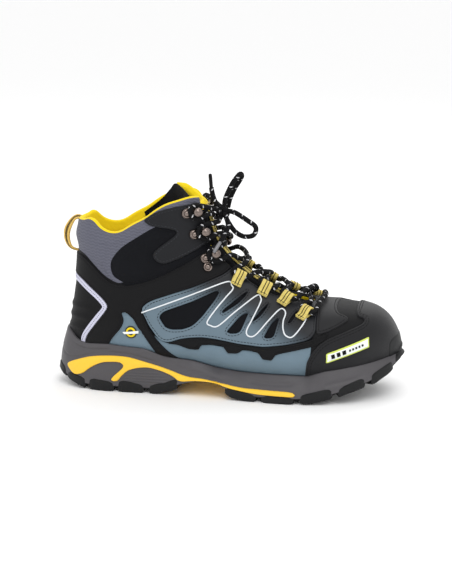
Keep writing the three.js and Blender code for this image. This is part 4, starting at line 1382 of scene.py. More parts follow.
    def piping(self) -> None:
        """Lays the light cord along the quarters' zigzag."""
        for side in (Side.OUTER, Side.INNER):
            route = spline(np.array(PIPING, float), 0.9)
            line, out = self.form.on(route, side, OVERLAY + 0.25)
            verts, faces = sweep(line, disc(0.62, 8), out)
            soup = Soup()
            soup.add(verts, faces)
            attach(soup.make(f"piping_{side.name.lower()}", self.form, self.paints[Look.PIPING]), "boot")

    def strip_dots(self) -> None:
        """Sews the dotted line down the middle of the reflective strip."""
        dots = Thread(pitch=2.0, length=1.0, radius=0.24)
        route = spline(np.array(STRIP_LINE, float), 1.0)
        for turn in (-1, 1):
            half = self.patch.points[:, 1] * turn > 0
            points, normals = self.patch.points[half], self.patch.normals[half]
            best = [np.argmin(((points[:, [0, 2]] - q) ** 2).sum(1)) for q in route]
            dots.sew(points[best] + normals[best] * 1.4)
        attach(dots.soup.make("strip_dots", self.form, self.paints[Look.GREY_THREAD]), "boot")

    def label(self) -> None:
        """Welds the plain label to the toe."""
        for name, inset, base, look in (("edge", 0.0, 1.9, Look.LABEL_EDGE), ("face", 1.1, 2.15, Look.LABEL)):
            patch = self.patch.copy()
            patch.fields = {"in": np.minimum(self.fields["toe_label"], self.fields["OUTER"]) - inset}
            patch.keep("in")
            patch.tidy()
            for level in (0.2, 0.5):
                patch.cut("in", level)
            height = base + 0.5 * rolled(patch.fields["in"], 0.5)
            verts, faces = patch.solid(height, base - 0.5)
            piece = make_object(f"toe_label_{name}", self.form.place(verts), faces, self.paints[look])
            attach(piece, "boot")
            if name == "edge":
                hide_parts("toe_label")

    def label_marks(self) -> None:
        """Prints the label's plain slanted bars."""
        low, high = np.array(LABEL_LINE[0]), np.array(LABEL_LINE[1])
        along = unit(high - low)
        marks = Soup()
        for start, width, tall in LABEL_BARS:
            end, slant = start + width, 0.35 * tall
            corners = [(start, -tall), (end, -tall), (end + slant, tall), (start + slant, tall)]
            flat = [low + along * a + np.array([-along[1], along[0]]) * b for a, b in corners]
            face, out = self.form.on(np.array(flat), Side.OUTER, 2.95)
            marks.add(np.vstack([face, face - out * 0.6]), SLAB)
        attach(marks.make("toe_label_bars", self.form, self.paints[Look.NUBUCK]), "boot")

    def badge(self) -> None:
        """Sets the plain round badge at the heel."""
        x, z, radius = BADGE
        middle, out = self.form.on(np.array([[x, z]]), Side.OUTER, 0.0)
        rings = {
            "badge_ring": (radius, 0.9, Look.BADGE_RING),
            "badge_face": (radius - 1.1, 1.2, Look.LINING),
            "badge_middle": (radius - 2.6, 1.45, Look.BADGE_RING),
        }
        for name, (r, top, look) in rings.items():
            profile = [(r, -0.8), (r, top - 0.3), (r - 0.3, top), (r * 0.5, top + 0.15), (0, top + 0.2)]
            soup = Soup()
            soup.add(*turned(profile, middle[0], out[0], 40))
            piece = soup.make(name, self.form, self.paints[look])
            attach(piece, "boot")
            if name == "badge_ring":
                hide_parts("heel_badge")
        bar = Soup()
        flat = np.array([(x - 7.5, z - 2.4), (x + 7, z - 0.6), (x + 7.2, z + 1.6), (x - 7.3, z - 0.2)])
        face, normal = self.form.on(flat, Side.OUTER, 1.75)
        bar.add(np.vstack([face, face - normal * 2.0]), SLAB)
        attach(bar.make("badge_bar", self.form, self.paints[Look.LABEL]), "boot")


# ---------------------------------------------------------------- the tongue

TONGUE = [
    (113, -23), (150, -22.5), (185, -19.5), (217, -15), (221, 3), (217, 20), (185, 25), (150, 25), (125, 30),
    (97, 40), (97, 10),
]
TONGUE_TOP = 178.0
FRONT_DROP = 9  # how much lower the tongue's top is at the front
OUTER_DROP = 4  # and at the outer side
TONGUE_OUT = -5.2
TONGUE_DEPTH = 4.9
GUSSET_TOP = [(66, 20, 150.5), (81, 20, 162.2), (90, 18.5, 172), (95, 16, 177.6), (103, 6, 175.5), (112, -9, 171.5)]
GUSSET_FOOT = [(70, 20, 138), (85, 20, 146), (94, 18, 152), (100, 15, 155), (106, 6, 155), (113, -8, 155)]
KEEPER = [(205, 2), (190, 1.8), (170, 1.2), (150, 0.6), (138, 0.2), (131, 0)]


@dataclass
class Tongue:
    """The padded tongue that closes the throat."""

    form: Form
    paints: Paints
    upper: Upper

    def build(self) -> None:
        """Makes the shell, the lining roll and the webbing strip."""
        patch = self.upper.patch.copy()
        plan = inside_distance(patch.points[:, :2], rounded(TONGUE))
        plan = np.where(patch.points[:, 2] > 60, plan, -FAR)
        ahead, across = patch.points[:, 0], patch.points[:, 1]
        crown = TONGUE_TOP - FRONT_DROP * smoothstep(104, 128, ahead) - OUTER_DROP * smoothstep(-5, 20, -across)
        edge = np.minimum(plan, (crown - patch.points[:, 2]) * 0.92)
        middle = inside_distance(patch.points[:, :2], rounded(THROAT))
        patch.fields = {"in": edge, "middle": middle, "top": crown - patch.points[:, 2]}
        patch.keep("in")
        patch.tidy()
        half = TONGUE_DEPTH / 2
        for level in (0.15, 0.5, 1.1, 1.9, half, 3.4, 5.0):
            patch.cut("in", level)
        inside = patch.fields["in"]
        swell = rolled(inside, half)
        soft = 1.5 * smoothstep(0, 6, patch.fields["middle"]) * smoothstep(0, 5, inside)
        roll = 2.4 * np.exp(-(((patch.fields["top"] - 6) / 5.0) ** 2)) * smoothstep(0, 3, inside)
        outer = patch.points + patch.normals * (TONGUE_OUT - half + half * swell + soft)[:, None]
        inner = patch.points + patch.normals * (TONGUE_OUT - half - half * swell - roll)[:, None]
        band = np.where(patch.fields["top"] < 9, 5.01, 1.91) * (patch.points[:, 0] < 140)
        light = (inside < band)[patch.faces].all(1)
        self.shell(patch, outer, ~light)
        self.lining(patch, outer, inner, light)
        self.webbing()
        self.gusset()

    def gusset(self) -> None:
        """Makes the folded gusset that joins the tongue to the inner side of the collar."""
        top = spline(np.array(GUSSET_TOP, float), 1.5)
        foot = resample(np.array(GUSSET_FOOT, float), 1.0)
        u = np.linspace(0, 1, len(top))
        feet = np.stack([np.interp(u, np.linspace(0, 1, len(foot)), foot[:, k]) for k in range(3)], 1)
        v = np.linspace(0, 1, 14)[:, None, None]
        sheet = top[None] * (1 - v) + feet[None] * v
        sheet[..., 1] += 1.6 * np.sin(math.pi * v[..., 0]) * np.sin(3 * math.pi * u)[None]
        rows, cols = sheet.shape[:2]
        flat = sheet.reshape(-1, 3)
        soup = Soup()
        back = flat + [0.6, 0.9, 0]
        faces = sheet_faces(rows, cols)
        n = len(flat)
        walls = [[j, n + j, n + j + 1, j + 1] for j in range(cols - 1)]
        soup.add(np.vstack([flat, back]), faces + [[n + k for k in f][::-1] for f in faces] + walls)
        piece = soup.make("tongue_gusset", self.form, self.paints[Look.TEXTILE], 60)
        fixed, moving = self.form.place(np.array([(72.0, 20, 150), (97, 12, 172)]))
        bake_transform(piece)

    def shell(self, patch: Patch, outer: Array, dark: Array) -> None:
        """Makes the black outer face."""
        faces = patch.faces[dark]
        piece = make_object("tongue_shell", self.form.place(outer), faces, self.paints[Look.TEXTILE], 80)
        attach(piece, "tongue")
        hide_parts("tongue")

    def lining(self, patch: Patch, outer: Array, inner: Array, light: Array) -> None:
        """Makes the light lining that rolls over the edge."""
        faces = lined_faces(patch.fields["in"], patch.faces[light], patch.faces)
        verts = self.form.place(np.vstack([outer, inner]))
        piece = make_object("tongue_roll", verts, faces, self.paints[Look.LINING], 80)
        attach(piece, "tongue")
        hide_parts("tongue_lining")

    def webbing(self) -> None:
        """Sews the webbing strip down the middle."""
        route = spline(np.array(KEEPER, float), 1.5)
        line, out = over(self.form, route, TONGUE_OUT + 2.0)
        soup, lines = Soup(), Soup()
        soup.add(*sweep(line, band_section(9.5, 1.1), out))
        for across in (-1.2, 1.2):
            side = np.cross(unit(np.gradient(line, axis=0)), out)
            lines.add(*sweep(line + side * across + out * 0.62, disc(0.3, 6), out))
        strip = soup.make("tongue_strip", self.form, self.paints[Look.WEBBING])
        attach(strip, "tongue")
        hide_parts("tongue_webbing")
        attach(lines.make("tongue_strip_lines", self.form, self.paints[Look.THREAD]), "tongue")


def over(form: Form, plan: Array, offset: float) -> tuple[Array, Array]:
    """Points of the form's top or front over plan points, with outward directions."""
    a, b = np.meshgrid(np.linspace(0.05, 0.75, 500), np.linspace(-0.9, 0.9, 121), indexing="ij")
    points = form.point(a.ravel(), b.ravel())
    normals = form.normal(a.ravel(), b.ravel())
    best = np.array([np.argmin(((points[:, :2] - q) ** 2).sum(1)) for q in plan])
    line = points[best]
    line[:, :2] = plan
    return averaged(line, 3) + normals[best] * offset, normals[best]


def band_section(width: float, thickness: float) -> Array:
    """A webbing's section, with soft edges."""
    w, t = width / 2, thickness / 2
    half = [(w - 0.35, -t), (w, -t * 0.3), (w, t * 0.3), (w - 0.35, t)]
    return np.array(half + [(-x, -y) for x, y in half])


# ---------------------------------------------------------------- the sole

SOLE_EDGE = [
    (-7, 0), (-4, -14), (6, -26), (22, -34.5), (45, -38.5), (80, -39.5), (110, -42), (150, -46.5), (195, -51),
    (225, -50.5), (250, -45), (272, -34.5), (288, -20.5), (297, -6), (300, 6), (297, 18), (288, 30.5),
    (272, 41), (250, 48.5), (225, 52.5), (195, 53), (160, 49), (120, 42.5), (80, 39), (45, 37.5), (22, 33.5),
    (6, 25), (-4, 14),
]
WALL_LINE = [
    (-8, 16.5), (4, 9.5), (20, 5.2), (98, 5.2), (108, 10), (125, 14.5), (143, 14), (153, 9.5), (178, 5.2), (212, 5.2),
    (224, 6.2), (244, 9.8), (256, 13.4), (270, 17.4), (280, 21.4), (290, 27.4), (305, 38.5),
]
FOXING = [
    (-3, 50), (1, 51), (8, 48), (14, 42.5), (22, 40), (45, 42), (56, 41), (78, 40), (95, 33.5), (108, 31.5), (120, 31),
    (142, 25), (163, 23), (205, 23), (221, 22.5), (235, 28), (254, 31), (273, 33.5), (291, 36), (305, 41),
]
HEEL_GROUND = [(-8, 12.5), (4, 6.5), (20, 1.5), (26, 0), (88, 0), (108, 5)]
FRONT_GROUND = [
    (150, 5), (158, 1.2), (180, 0), (212, 0), (224, 1.2), (244, 5), (256, 9), (270, 13), (280, 16.5), (290, 22),
    (304, 32),
]
STABILISER = [
    (4, 19), (8, 22.5), (25, 29), (38, 31.5), (53, 32.5), (65, 32), (82, 28), (99, 22.5), (116, 17.5), (132, 17),
    (164, 11.3), (211, 10.5), (214, 6.3), (178, 6.9), (153, 10.4), (143, 14.4), (125, 14.9), (110, 12.4),
    (104, 17), (93, 21), (82, 24), (72, 23), (63, 20), (57, 14), (54, 9.4), (47, 9.4), (50, 14), (57, 20),
    (60, 24), (57, 27), (51, 27), (40, 26), (29, 20.5), (21, 13.5), (12, 11),
]
RIBBED_WINDOW = [(56, 9), (62, 18), (72, 22), (84, 22), (96, 18), (104, 11), (104, 7), (56, 7)]
GROOVES = [  # side-view line, half width, depth
    ([(9, 40), (14, 36.5), (24, 35), (38, 36), (50, 37.5)], 1.5, 1.3),
    ([(-6, 34), (-1, 30), (6, 26.5), (14, 26.5), (26, 31), (40, 34.2), (56, 34.8), (72, 33), (90, 28)], 0.9, 0.8),
    ([(104, 25.5), (118, 22.5), (134, 20), (150, 16.5), (158, 15)], 1.5, 0.9),
    ([(170, 17), (185, 15.5), (205, 16), (214, 18)], 2.0, 1.1),
    ([(222, 9), (224, 14), (224, 20)], 1.0, -0.9),
    ([(236, 16), (248, 19), (262, 22), (276, 27)], 1.9, 0.9),
]
TOE_WRAP = 295.0  # where the rubber starts to wrap up round the toe
SUNK = -0.2  # how far the rims of moulded parts sink into the midsole's wall
TREAD = 3.6
LUG_W = 17.0
# each lug: where it starts and ends, how far it reaches up the wall, how much its top tilts
HEEL_LUGS = [(-6.5, 2.5, 5, 0), (4.5, 23.5, 5, 0.8), (27, 50.5, 5, -0.9), (54, 77.5, 5, -1.6), (82, 108, 5, 1.3)]
FRONT_LUGS = [
    (151, 178.5, 1.2, 0), (183, 211.5, 1.2, 0), (217, 244, 4.6, 0.8), (249, 271, 4.6, 0.9), (276, 293, 4.8, -0.6),
]


def line_at(line: Points, x: Array) -> Array:
    """Height of a side-view line at places along the boot."""
    xs, zs = np.array(line, float).T
    return np.interp(x, xs, zs)


@dataclass
class Sole:
    """Midsole, stabiliser and rubber outsole."""

    form: Form
    paints: Paints
    upper: Upper
    steps: int = 240

    def __post_init__(self) -> None:
        """Matches the sole's edge to the line where it meets the upper."""
        edge = spline(np.array(SOLE_EDGE, float), 1.0, closed=True)[:-1]
        self.edge = self.halves(np.column_stack([edge, np.zeros(len(edge))]))
        self.edge[:, 2] = line_at(WALL_LINE, self.edge[:, 0])
        forward = np.roll(self.edge, -1, axis=0) - np.roll(self.edge, 1, axis=0)
        self.out = unit(np.stack([-forward[:, 1], forward[:, 0], np.zeros(len(forward))], 1))
        if (self.out * (self.edge - self.edge.mean(0))).sum() < 0:
            self.out = -self.out
        self.join = self.halves(self.upper_line())
        self.wall = self.make_wall()

    def halves(self, loop: Array) -> Array:
        """A loop as equal steps from heel to toe on the outer side, then back on the inner."""
        loop = np.roll(loop, -int(np.argmin(loop[:, 0])), axis=0)
        toe = int(np.argmax(loop[:, 0]))
        there, back = loop[: toe + 1], np.vstack([loop[toe:], loop[:1]])
        if there[:, 1].mean() > back[:, 1].mean():
            there, back = back[::-1], there[::-1]
        half = self.steps // 2
        parts = []
        for run in (there, back):
            length = np.concatenate([[0], np.cumsum(np.linalg.norm(np.diff(run, axis=0), axis=1))])
            u = np.linspace(0, length[-1], half + 1)[:-1]
            parts.append(np.stack([np.interp(u, length, run[:, k]) for k in range(3)], 1))
        return np.vstack(parts)

    def upper_line(self) -> Array:
        """The closed line on the form where the midsole ends."""
        patch = self.upper.patch.copy()
        patch.fields = {"rise": patch.points[:, 2] - line_at(FOXING, patch.points[:, 0])}
        pairs = patch.cut("rise", 0.0)
        line = max(chains(pairs, patch.points), key=len)
        for _ in range(12):
            line = (np.roll(line, 1, axis=0) + 2 * line + np.roll(line, -1, axis=0)) / 4
        return line[:-1]

    def make_wall(self) -> Patch:
        """The midsole's wall, from the upper's line down to the bottom edge."""
        ledge = [(0.0, -0.4), (1.6, 0.0), (2.3, -0.25), (2.9, -0.9)]
        rows = [self.join + self.out * n + [0, 0, z] for n, z in ledge]
        start, count = rows[-1], 46
        for i in range(1, count + 1):
            v = i / count
            bulge = 1.3 * math.sin(math.pi * v) - 1.5 * v * (1 - v) ** 3
            rows.append(start * (1 - v) + self.edge * v + self.out * bulge)
        points = np.array(rows)
        outs = np.broadcast_to(self.out, points.shape)
        patch = wrapped_grid(points, np.array(outs))
        xz = patch.points[:, [0, 2]]
        depth = np.zeros(len(xz))
        for line, half, deep in GROOVES:
            way = spline(np.array(line, float), 2.0)
            far = segment_distance(xz, way[:-1], way[1:])
            ends = smoothstep(0, 8, np.hypot(*(xz - way[-1]).T)) * smoothstep(0, 4, np.hypot(*(xz - way[0]).T))
            depth -= deep * np.exp(-((far / half) ** 2)) * ends
        window = inside_distance(xz, rounded(RIBBED_WINDOW))
        depth += 0.28 * np.sin(xz[:, 1] * 2 * math.pi / 2.6) * smoothstep(0, 2, window)
        patch.points = patch.points + patch.normals * depth[:, None]
        patch.fields = {"stabiliser": inside_distance(xz, rounded(STABILISER))}
        return patch

    def build(self) -> None:
        """Makes every part of the sole."""
        self.midsole()
        self.stabiliser()
        self.toe_wrap()
        self.outsole("heel", HEEL_GROUND, HEEL_LUGS, -7.8, 108)
        self.outsole("forefoot", FRONT_GROUND, FRONT_LUGS, 150, 302)

    def ladder(self, edge: Array, low: float, high: float, crown: float = 0.0) -> tuple[Array, list]:
        """A surface that spans between the two sides of a loop.

        Args:
            edge: the loop, from the heel out and back.
            low: least x.
            high: greatest x.
            crown: how far its middle is raised.

        Returns:
            Vertices and polygons.
        """
        half = self.steps // 2
        outer, inner = edge[: half + 1], np.vstack([edge[:1], edge[half:][::-1]])
        keep = (outer[:, 0] >= low) & (outer[:, 0] <= high)
        outer, inner = outer[keep], inner[keep]
        t = np.linspace(0, 1, 9)[None, :, None]
        verts = outer[:, None] * (1 - t) + inner[:, None] * t
        verts[..., 2] += crown * np.sin(math.pi * t[..., 0])
        cols = 9
        faces = [
            [i * cols + j, (i + 1) * cols + j, (i + 1) * cols + j + 1, i * cols + j + 1]
            for i in range(len(outer) - 1)
            for j in range(cols - 1)
        ]
        return verts.reshape(-1, 3), faces

    def midsole(self) -> None:
        """Makes the foam midsole."""
        soup = Soup()
        soup.add(self.wall.points, self.wall.faces)
        soup.add(*self.ladder(self.edge + [0, 0, 0.02], -20, 320, 1.0))
        piece = soup.make("midsole_foam", self.form, self.paints[Look.FOAM], 60)
        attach(piece, "boot")
        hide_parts("midsole")

    def stabiliser(self) -> None:
        """Makes the moulded stabiliser with its arch plate."""
        patch = self.wall.copy()
        patch.keep("stabiliser")
        patch.tidy()
        for level in (0.15, 0.45, 0.9, 1.6):
            patch.cut("stabiliser", level)
        inside = patch.fields["stabiliser"]
        height = SUNK + 1.5 * rolled(inside, 0.9) + 0.3 * smoothstep(0.9, 3.5, inside)
        verts, faces = patch.solid(height, -1.2)
        soup = Soup()
        soup.add(verts, faces)
        lower, plates = self.edge - self.out * 0.3, []
        for shift in (-0.15, 1.6):
            plates.append(self.ladder(lower + [0, 0, shift], 107, 156, 0.8))
        for verts, faces in plates:
            soup.add(verts, faces)
        piece = soup.make("stabiliser_frame", self.form, self.paints[Look.MOULDED], 50)
        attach(piece, "boot")
        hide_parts("arch_stabiliser")

    def toe_wrap(self) -> None:
        """Makes the rubber that wraps up round the toe."""
        patch = self.wall.copy()
        patch.fields["toe"] = patch.points[:, 0] - TOE_WRAP + 0.12 * (patch.points[:, 2] - 30)
        patch.keep("toe")
        patch.tidy()
        for level in (0.2, 0.7, 1.5):
            patch.cut("toe", level)
        height = SUNK + 0.7 * rolled(patch.fields["toe"], 1.5)
        verts, faces = patch.solid(height, -1.0)
        piece = make_object("toe_wrap", self.form.place(verts), faces, self.paints[Look.RUBBER], 50)
        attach(piece, "boot")

    def outsole(self, name: str, ground: Points, lugs: list, low: float, high: float) -> None:
        """Makes one rubber outsole with its lugs.

        Args:
            name: heel or forefoot.
            ground: the side-view line that it stands on.
            lugs: where its lugs begin and end.
            low: least x.
            high: greatest x.
        """
        soup = Soup()
        top = self.edge - self.out * 1.2
        bottom = top.copy()
        web = np.minimum(line_at(ground, top[:, 0]) + TREAD, top[:, 2] - 0.6)
        bottom[:, 2] = web
        soup.add(*self.ladder(bottom, low, high))
        half = self.steps // 2
        for side in (range(0, half + 1), range(half, self.steps + 1)):
            ids = [i % self.steps for i in side if low <= self.edge[i % self.steps, 0] <= high]
            upper_edge, lower_edge = top[ids] + [0, 0, 0.5], bottom[ids]
            verts = np.vstack([self.edge[ids] - self.out[ids] + [0, 0, 0.5], upper_edge, lower_edge])
            n = len(ids)
            soup.add(verts, sheet_faces(3, n))
        for a, b, tall, tilt in lugs:
            for turn in (-1, 1):
                self.side_lug(soup, ground, a, b, tall, tilt, turn)
            self.centre_lug(soup, ground, a, b)
        piece = soup.make(f"outsole_{name}_rubber", self.form, self.paints[Look.RUBBER], 30)
        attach(piece, "boot")
        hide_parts(f"outsole_{name}")

    def side_points(self, xs: Array, turn: int) -> tuple[Array, Array]:
        """Points of the bottom edge at places along one side, with outward directions."""
        half = self.steps // 2
        ids = np.arange(half + 1) if turn < 0 else np.concatenate([np.arange(half, self.steps), [0]])[::-1]
        edge, out = self.edge[ids], self.out[ids]
        return (
            np.stack([np.interp(xs, edge[:, 0], edge[:, k]) for k in range(3)], 1),
            unit(np.stack([np.interp(xs, edge[:, 0], out[:, k]) for k in range(3)], 1)),
        )

    def block(self, soup: Soup, loop: Array, ground: Points, top: Array, lean: Array, chamfer: float = 1.3) -> None:
        """Adds a lug with chamfered edges.

        Args:
            soup: where it is gathered.
            loop: its footprint, in order.
            ground: the side-view line that it stands on.
            top: height that each side reaches up to.
            lean: how far each point's top moves.
            chamfer: size of the chamfer.
        """
        centre = loop.mean(0)
        floor = line_at(ground, loop[:, 0])
        inward = unit(centre - loop)
        rings = []
        for inset, rise in ((chamfer * 1.2, 0.0), (chamfer * 0.35, chamfer * 0.5), (0.0, chamfer * 1.3)):
            ring = loop + inward * inset
            ring[:, 0] = centre[0] + (ring[:, 0] - centre[0]) * (0.93 + 0.07 * rise / (chamfer * 1.3))
            rings.append(np.column_stack([ring, line_at(ground, ring[:, 0]) + rise]))
        rings.append(np.column_stack([loop + lean * 0.6, top - 1.0]))
        rings.append(np.column_stack([loop + lean + inward * 0.8, top]))
        n = len(loop)
        verts = np.vstack(rings)
        verts[:, 2] = np.maximum(verts[:, 2], np.tile(floor, len(rings)))
        ends = [list(range(n))[::-1], [(len(rings) - 1) * n + i for i in range(n)]]
        soup.add(verts, ring_faces(len(rings), n) + ends)

    def side_lug(self, soup: Soup, ground: Points, a: float, b: float, tall: float, tilt: float, turn: int) -> None:
        """Adds the lug at one side between two places along the boot."""
        ease = np.array([0.0, 0.06, 0.2, 0.5, 0.8, 0.94, 1.0])
        edge, out = self.side_points(a + (b - a) * ease, turn)
        proud = 1.5 - 1.3 * np.abs(ease * 2 - 1) ** 6
        outer = edge[:, :2] + out[:, :2] * proud[:, None]
        inner = edge[::-1][[0, 2, 3, 4, 6]] - out[::-1][[0, 2, 3, 4, 6]] * LUG_W
        inner = inner[:, :2]
        inner[:, 1] = np.where(inner[:, 1] * turn < 3, turn * 3, inner[:, 1])
        loop = np.vstack([outer, inner])
        rise = tall * (1 - 0.45 * np.abs(ease * 2 - 1) ** 6) + tilt * (ease * 2 - 1)
        top = np.concatenate([edge[:, 2] + rise, line_at(ground, inner[:, 0]) + TREAD + 0.3])
        lean = np.vstack([-out[:, :2] * 1.2, np.zeros((len(inner), 2))])
        self.block(soup, loop, ground, top, lean)

    def centre_lug(self, soup: Soup, ground: Points, a: float, b: float) -> None:
        """Adds the lug in the middle between two places along the boot."""
        edge, _ = self.side_points(np.array([(a + b) / 2]), 1)
        w = abs(edge[0, 1]) - LUG_W - 6
        if w < 5:
            return
        loop = np.array([(a + 2, -w), (b - 5, -w), (b, 0), (b - 5, w), (a + 2, w), (a + 7, 0)])
        top = line_at(ground, loop[:, 0]) + TREAD + 0.3
        self.block(soup, loop, ground, top, np.zeros_like(loop))


# ---------------------------------------------------------------- laces, loops and hooks

LACE_D = 4.4
GAP = 0.3  # clearance between pieces that touch
SEAT = 2.0  # height of the loops and hooks over the last
WEB_W = 11.0  # room that the lace leaves for a loop
WEB_T = 1.1
LOOP_W = 9.4
LOOP_REACH = 10.4  # from a loop's fold to its stitched end
PLATE_T = 1.1
PLATE_R = 4.3  # half the width of a hook's plate
PULL_TWIST = 44  # degrees that the pull loop turns by its middle
LOOP_PLACES = [(220, 74), (200, 83), (180, 92.5), (158, 103.5)]
HOOK_PLACES = [(136, 121), (126, 142), (120, 160)]
EXTRA_RIVET = (132, 112)
LOW = 1.2
HIGH = LOW + LACE_D + 1.2
EDGE_RISE = OVERLAY + LACE_D / 2 + 2
LOOP_RISE = LACE_D / 2 + GAP + WEB_T
HOOK_RISE = PLATE_T + GAP + LACE_D / 2
KNOT = np.array([141.0, 0.0, 158.0])
KNOT_SIZE = np.array([6.0, 7.5, 6.0])
BOW_UPPER = [
    (143, -3, 160), (144, -3, 169), (150, -3, 182), (156, -1, 190), (157, 3, 187), (151, 4, 177), (147, 3, 168), (145, 3, 160),
]
BOW_LOWER = [
    (144, -2, 158), (153, -6, 157), (164, -10, 151.5), (172, -12, 146), (170, -12, 139), (161, -9, 137),
    (152, -5, 141), (144, -1, 151),
]
END_UPPER = [(145, 3, 153), (142, 0, 156), (138, -5, 161), (135, -6, 167), (133, -6, 173), (132, -6, 178.5)]
AGLET_UPPER = [(132, -6, 177.6), (131.5, -6, 184), (131, -6, 190.5)]
PULL_LOOP = [
    (14, 148.0), (8.5, 147.6), (4.0, 143), (0.4, 135.8), (0.0, 128.2), (2.6, 121.6), (7.6, 118.7), (14, 118.4),
]


@dataclass
class Seat:
    """A place on the upper with its own directions: up towards the throat, across, and out."""

    origin: Array
    up: Array
    across: Array
    out: Array
    along: float
    angle: float

    def at(self, x: float, y: float, z: float) -> Array:
        """A point in this seat's own directions."""
        return self.origin + self.up * x + self.across * y + self.out * z


def seat_at(form: Form, x: float, z: float, side: Side, row: Array | None = None) -> Seat:
    """The seat over a side-view point.

    Args:
        form: what it sits on.
        x: place along the boot.
        z: its height.
        side: the half of the boot it is on.
        row: the direction of the row that it belongs to, which its up is square to.

    Returns:
        The seat.
    """
    along, angle = form.find(np.array([[x, z]], float), side)
    out = form.normal(along, angle)[0]
    here = form.point(along, angle)
    up = (form.point(along, angle - np.sign(angle) * 0.03) - here)[0]
    if row is not None:
        square = np.cross(out, row)
        up = square * np.sign(square @ up)
    up = unit(up - out * (up @ out))
    return Seat(here[0] + out * SEAT, up, np.cross(out, up), out, float(along[0]), float(angle[0]))


@dataclass
class Lacing:
    """The lace, its knot and bow, and the loops and hooks that hold it."""

    form: Form
    paints: Paints

    def __post_init__(self) -> None:
        """Finds the seats of the loops and hooks."""
        self.seats = {side: self.side_seats(side) for side in (Side.OUTER, Side.INNER)}

    def side_seats(self, side: Side) -> list[Seat]:
        """The seats of one side, from the toe up."""
        points = [self.form.on(np.array([place], float), side, 0.0)[0][0] for place in LOOP_PLACES]
        ends = [points[0], *points, points[-1]]
        loops = [seat_at(self.form, *place, side, ends[i] - ends[i + 2]) for i, place in enumerate(LOOP_PLACES)]
        return loops + [seat_at(self.form, *place, side) for place in HOOK_PLACES]

    def cord_piece(
        self, name: str, line: Array, look: Look = Look.LACE, radius: float = LACE_D / 2, taper: float = 0.0
    ) -> bpy.types.Object:
        """A round cord with a map along and around it.

        Args:
            name: the piece's name.
            line: the points it follows, in design millimetres.
            look: its finish.
            radius: half its thickness.
            taper: how much its ends narrow.

        Returns:
            The piece.
        """
        sides = 12
        narrowing = taper * (np.abs(np.linspace(-1, 1, len(line))) ** 12)
        verts, faces = sweep(line, disc(radius, sides), scale=1 - narrowing)
        piece = make_object(name, self.form.place(verts), faces, self.paints[look], 60)
        steps = np.linalg.norm(np.diff(line, axis=0), axis=1)
        along = np.concatenate([[0], np.cumsum(steps)]) / 10
        self.map_round(piece, along, sides)
        return piece

    def map_round(self, piece: bpy.types.Object, along: Array, sides: int) -> None:
        """Maps a tube: along it in centimetres, and once around it."""
        layer = piece.data.uv_layers.new(name="round")
        for polygon in piece.data.polygons:
            ids = [piece.data.loops[i].vertex_index for i in polygon.loop_indices]
            wraps = {i % sides for i in ids} == {0, sides - 1}
            for loop, i in zip(polygon.loop_indices, ids):
                around = (i % sides) / sides
                layer.data[loop].uv = (along[i // sides], 1.0 if wraps and i % sides == 0 else around)

    def build_cords(self) -> None:
        """Makes the knot, the bow and the lace's two ends."""
        self.knot()
        for name, points in (("bow_loop_upper", BOW_UPPER), ("bow_loop_lower", BOW_LOWER)):
            self.free_cord(name, np.array(points, float))
        tip = self.cord_piece("tip_upper", spline(np.array(AGLET_UPPER, float), 0.8), Look.THREAD, 1.6, 0.4)
        self.fit(tip, "aglet_upper")
        self.free_cord("lace_end_upper", np.array(END_UPPER, float))
        self.lower_end()

    def fit(self, piece: bpy.types.Object, node: str) -> None:
        """Fixes a piece to the boot in place of its solid."""
        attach(piece, "boot")
        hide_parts(node)

    def free_cord(self, name: str, points: Array) -> None:
        """Makes a free cord and logs its length.

        Args:
            name: its solid's name.
            points: the points it passes, in design millimetres.
        """
        line = spline(points, 0.8)
        piece = self.cord_piece(name + "_cord", line)
        self.fit(piece, name)
        path = self.form.place(line)
        length = float(np.linalg.norm(np.diff(path, axis=0), axis=1).sum())
        path[0].tolist()
        log.info("%s is %.0f mm long", name, length * 1000)

    def lower_end(self) -> None:
        """Makes the end that lies down the outer side, with its tip."""
        low_along, low_angle = (v[0] for v in self.form.find(np.array([[133.0, 122.0]]), Side.OUTER))
        top_along = self.form.find(np.array([[134.0, 152.0]]), Side.OUTER)[0][0]
        rise = HIGH + LACE_D / 2 + 5
        share = np.array([0.3, 0.55, 0.8, 1.0])
        along, angle = top_along + (low_along - top_along) * share, low_angle * share
        points = self.form.point(along, angle) + self.form.normal(along, angle) * rise
        line = spline(np.vstack([KNOT + [1, -2, 0], KNOT + [2.5, -5, -2], points]), 0.8)
        split = int(len(line) * 0.75)
        tip = self.cord_piece("tip_lower", line[split - 1 :], Look.AGLET, 1.6, 0.4)
        self.fit(tip, "aglet_lower")
        self.free_cord("lace_end_lower", line[: split + 1 : 4])

    def knot(self) -> None:
        """Ties the knot."""
        t = np.linspace(0, 2 * math.pi, 160)
        r = 0.62 + 0.3 * np.cos(3 * t)
        ring = np.stack([r * np.sin(2 * t), r * np.cos(2 * t), 0.55 * np.sin(3 * t)], 1)
        line = KNOT + ring * (KNOT_SIZE - 1.2)
        self.fit(self.cord_piece("knot", line), "bow_knot")

    def crossing(self, a: Seat, b: Seat, middle: float, edge: float) -> list[Array]:
        """Points over the throat between two seats."""
        f = np.array([0.25, 0.5, 0.75])
        along, angle = a.along + (b.along - a.along) * f, a.angle + (b.angle - a.angle) * f
        rise = edge + (middle - edge) * np.sin(math.pi * f) ** 4
        return list(self.form.point(along, angle) + self.form.normal(along, angle) * rise[:, None])

    def passing(self, seat: Seat, index: int, side: Side) -> list[Array]:
        """Points through a loop or round a hook, on the way down."""
        turn = -side.value
        if index < len(LOOP_PLACES):
            end = WEB_W / 2 + 1.2
            return [seat.at(0, turn * end, LOOP_RISE), seat.at(0, -turn * end, LOOP_RISE)]
        return [seat.at(-0.6 if k else -5.4, k * turn * 6, HOOK_RISE) for k in (1, 0, -1)]

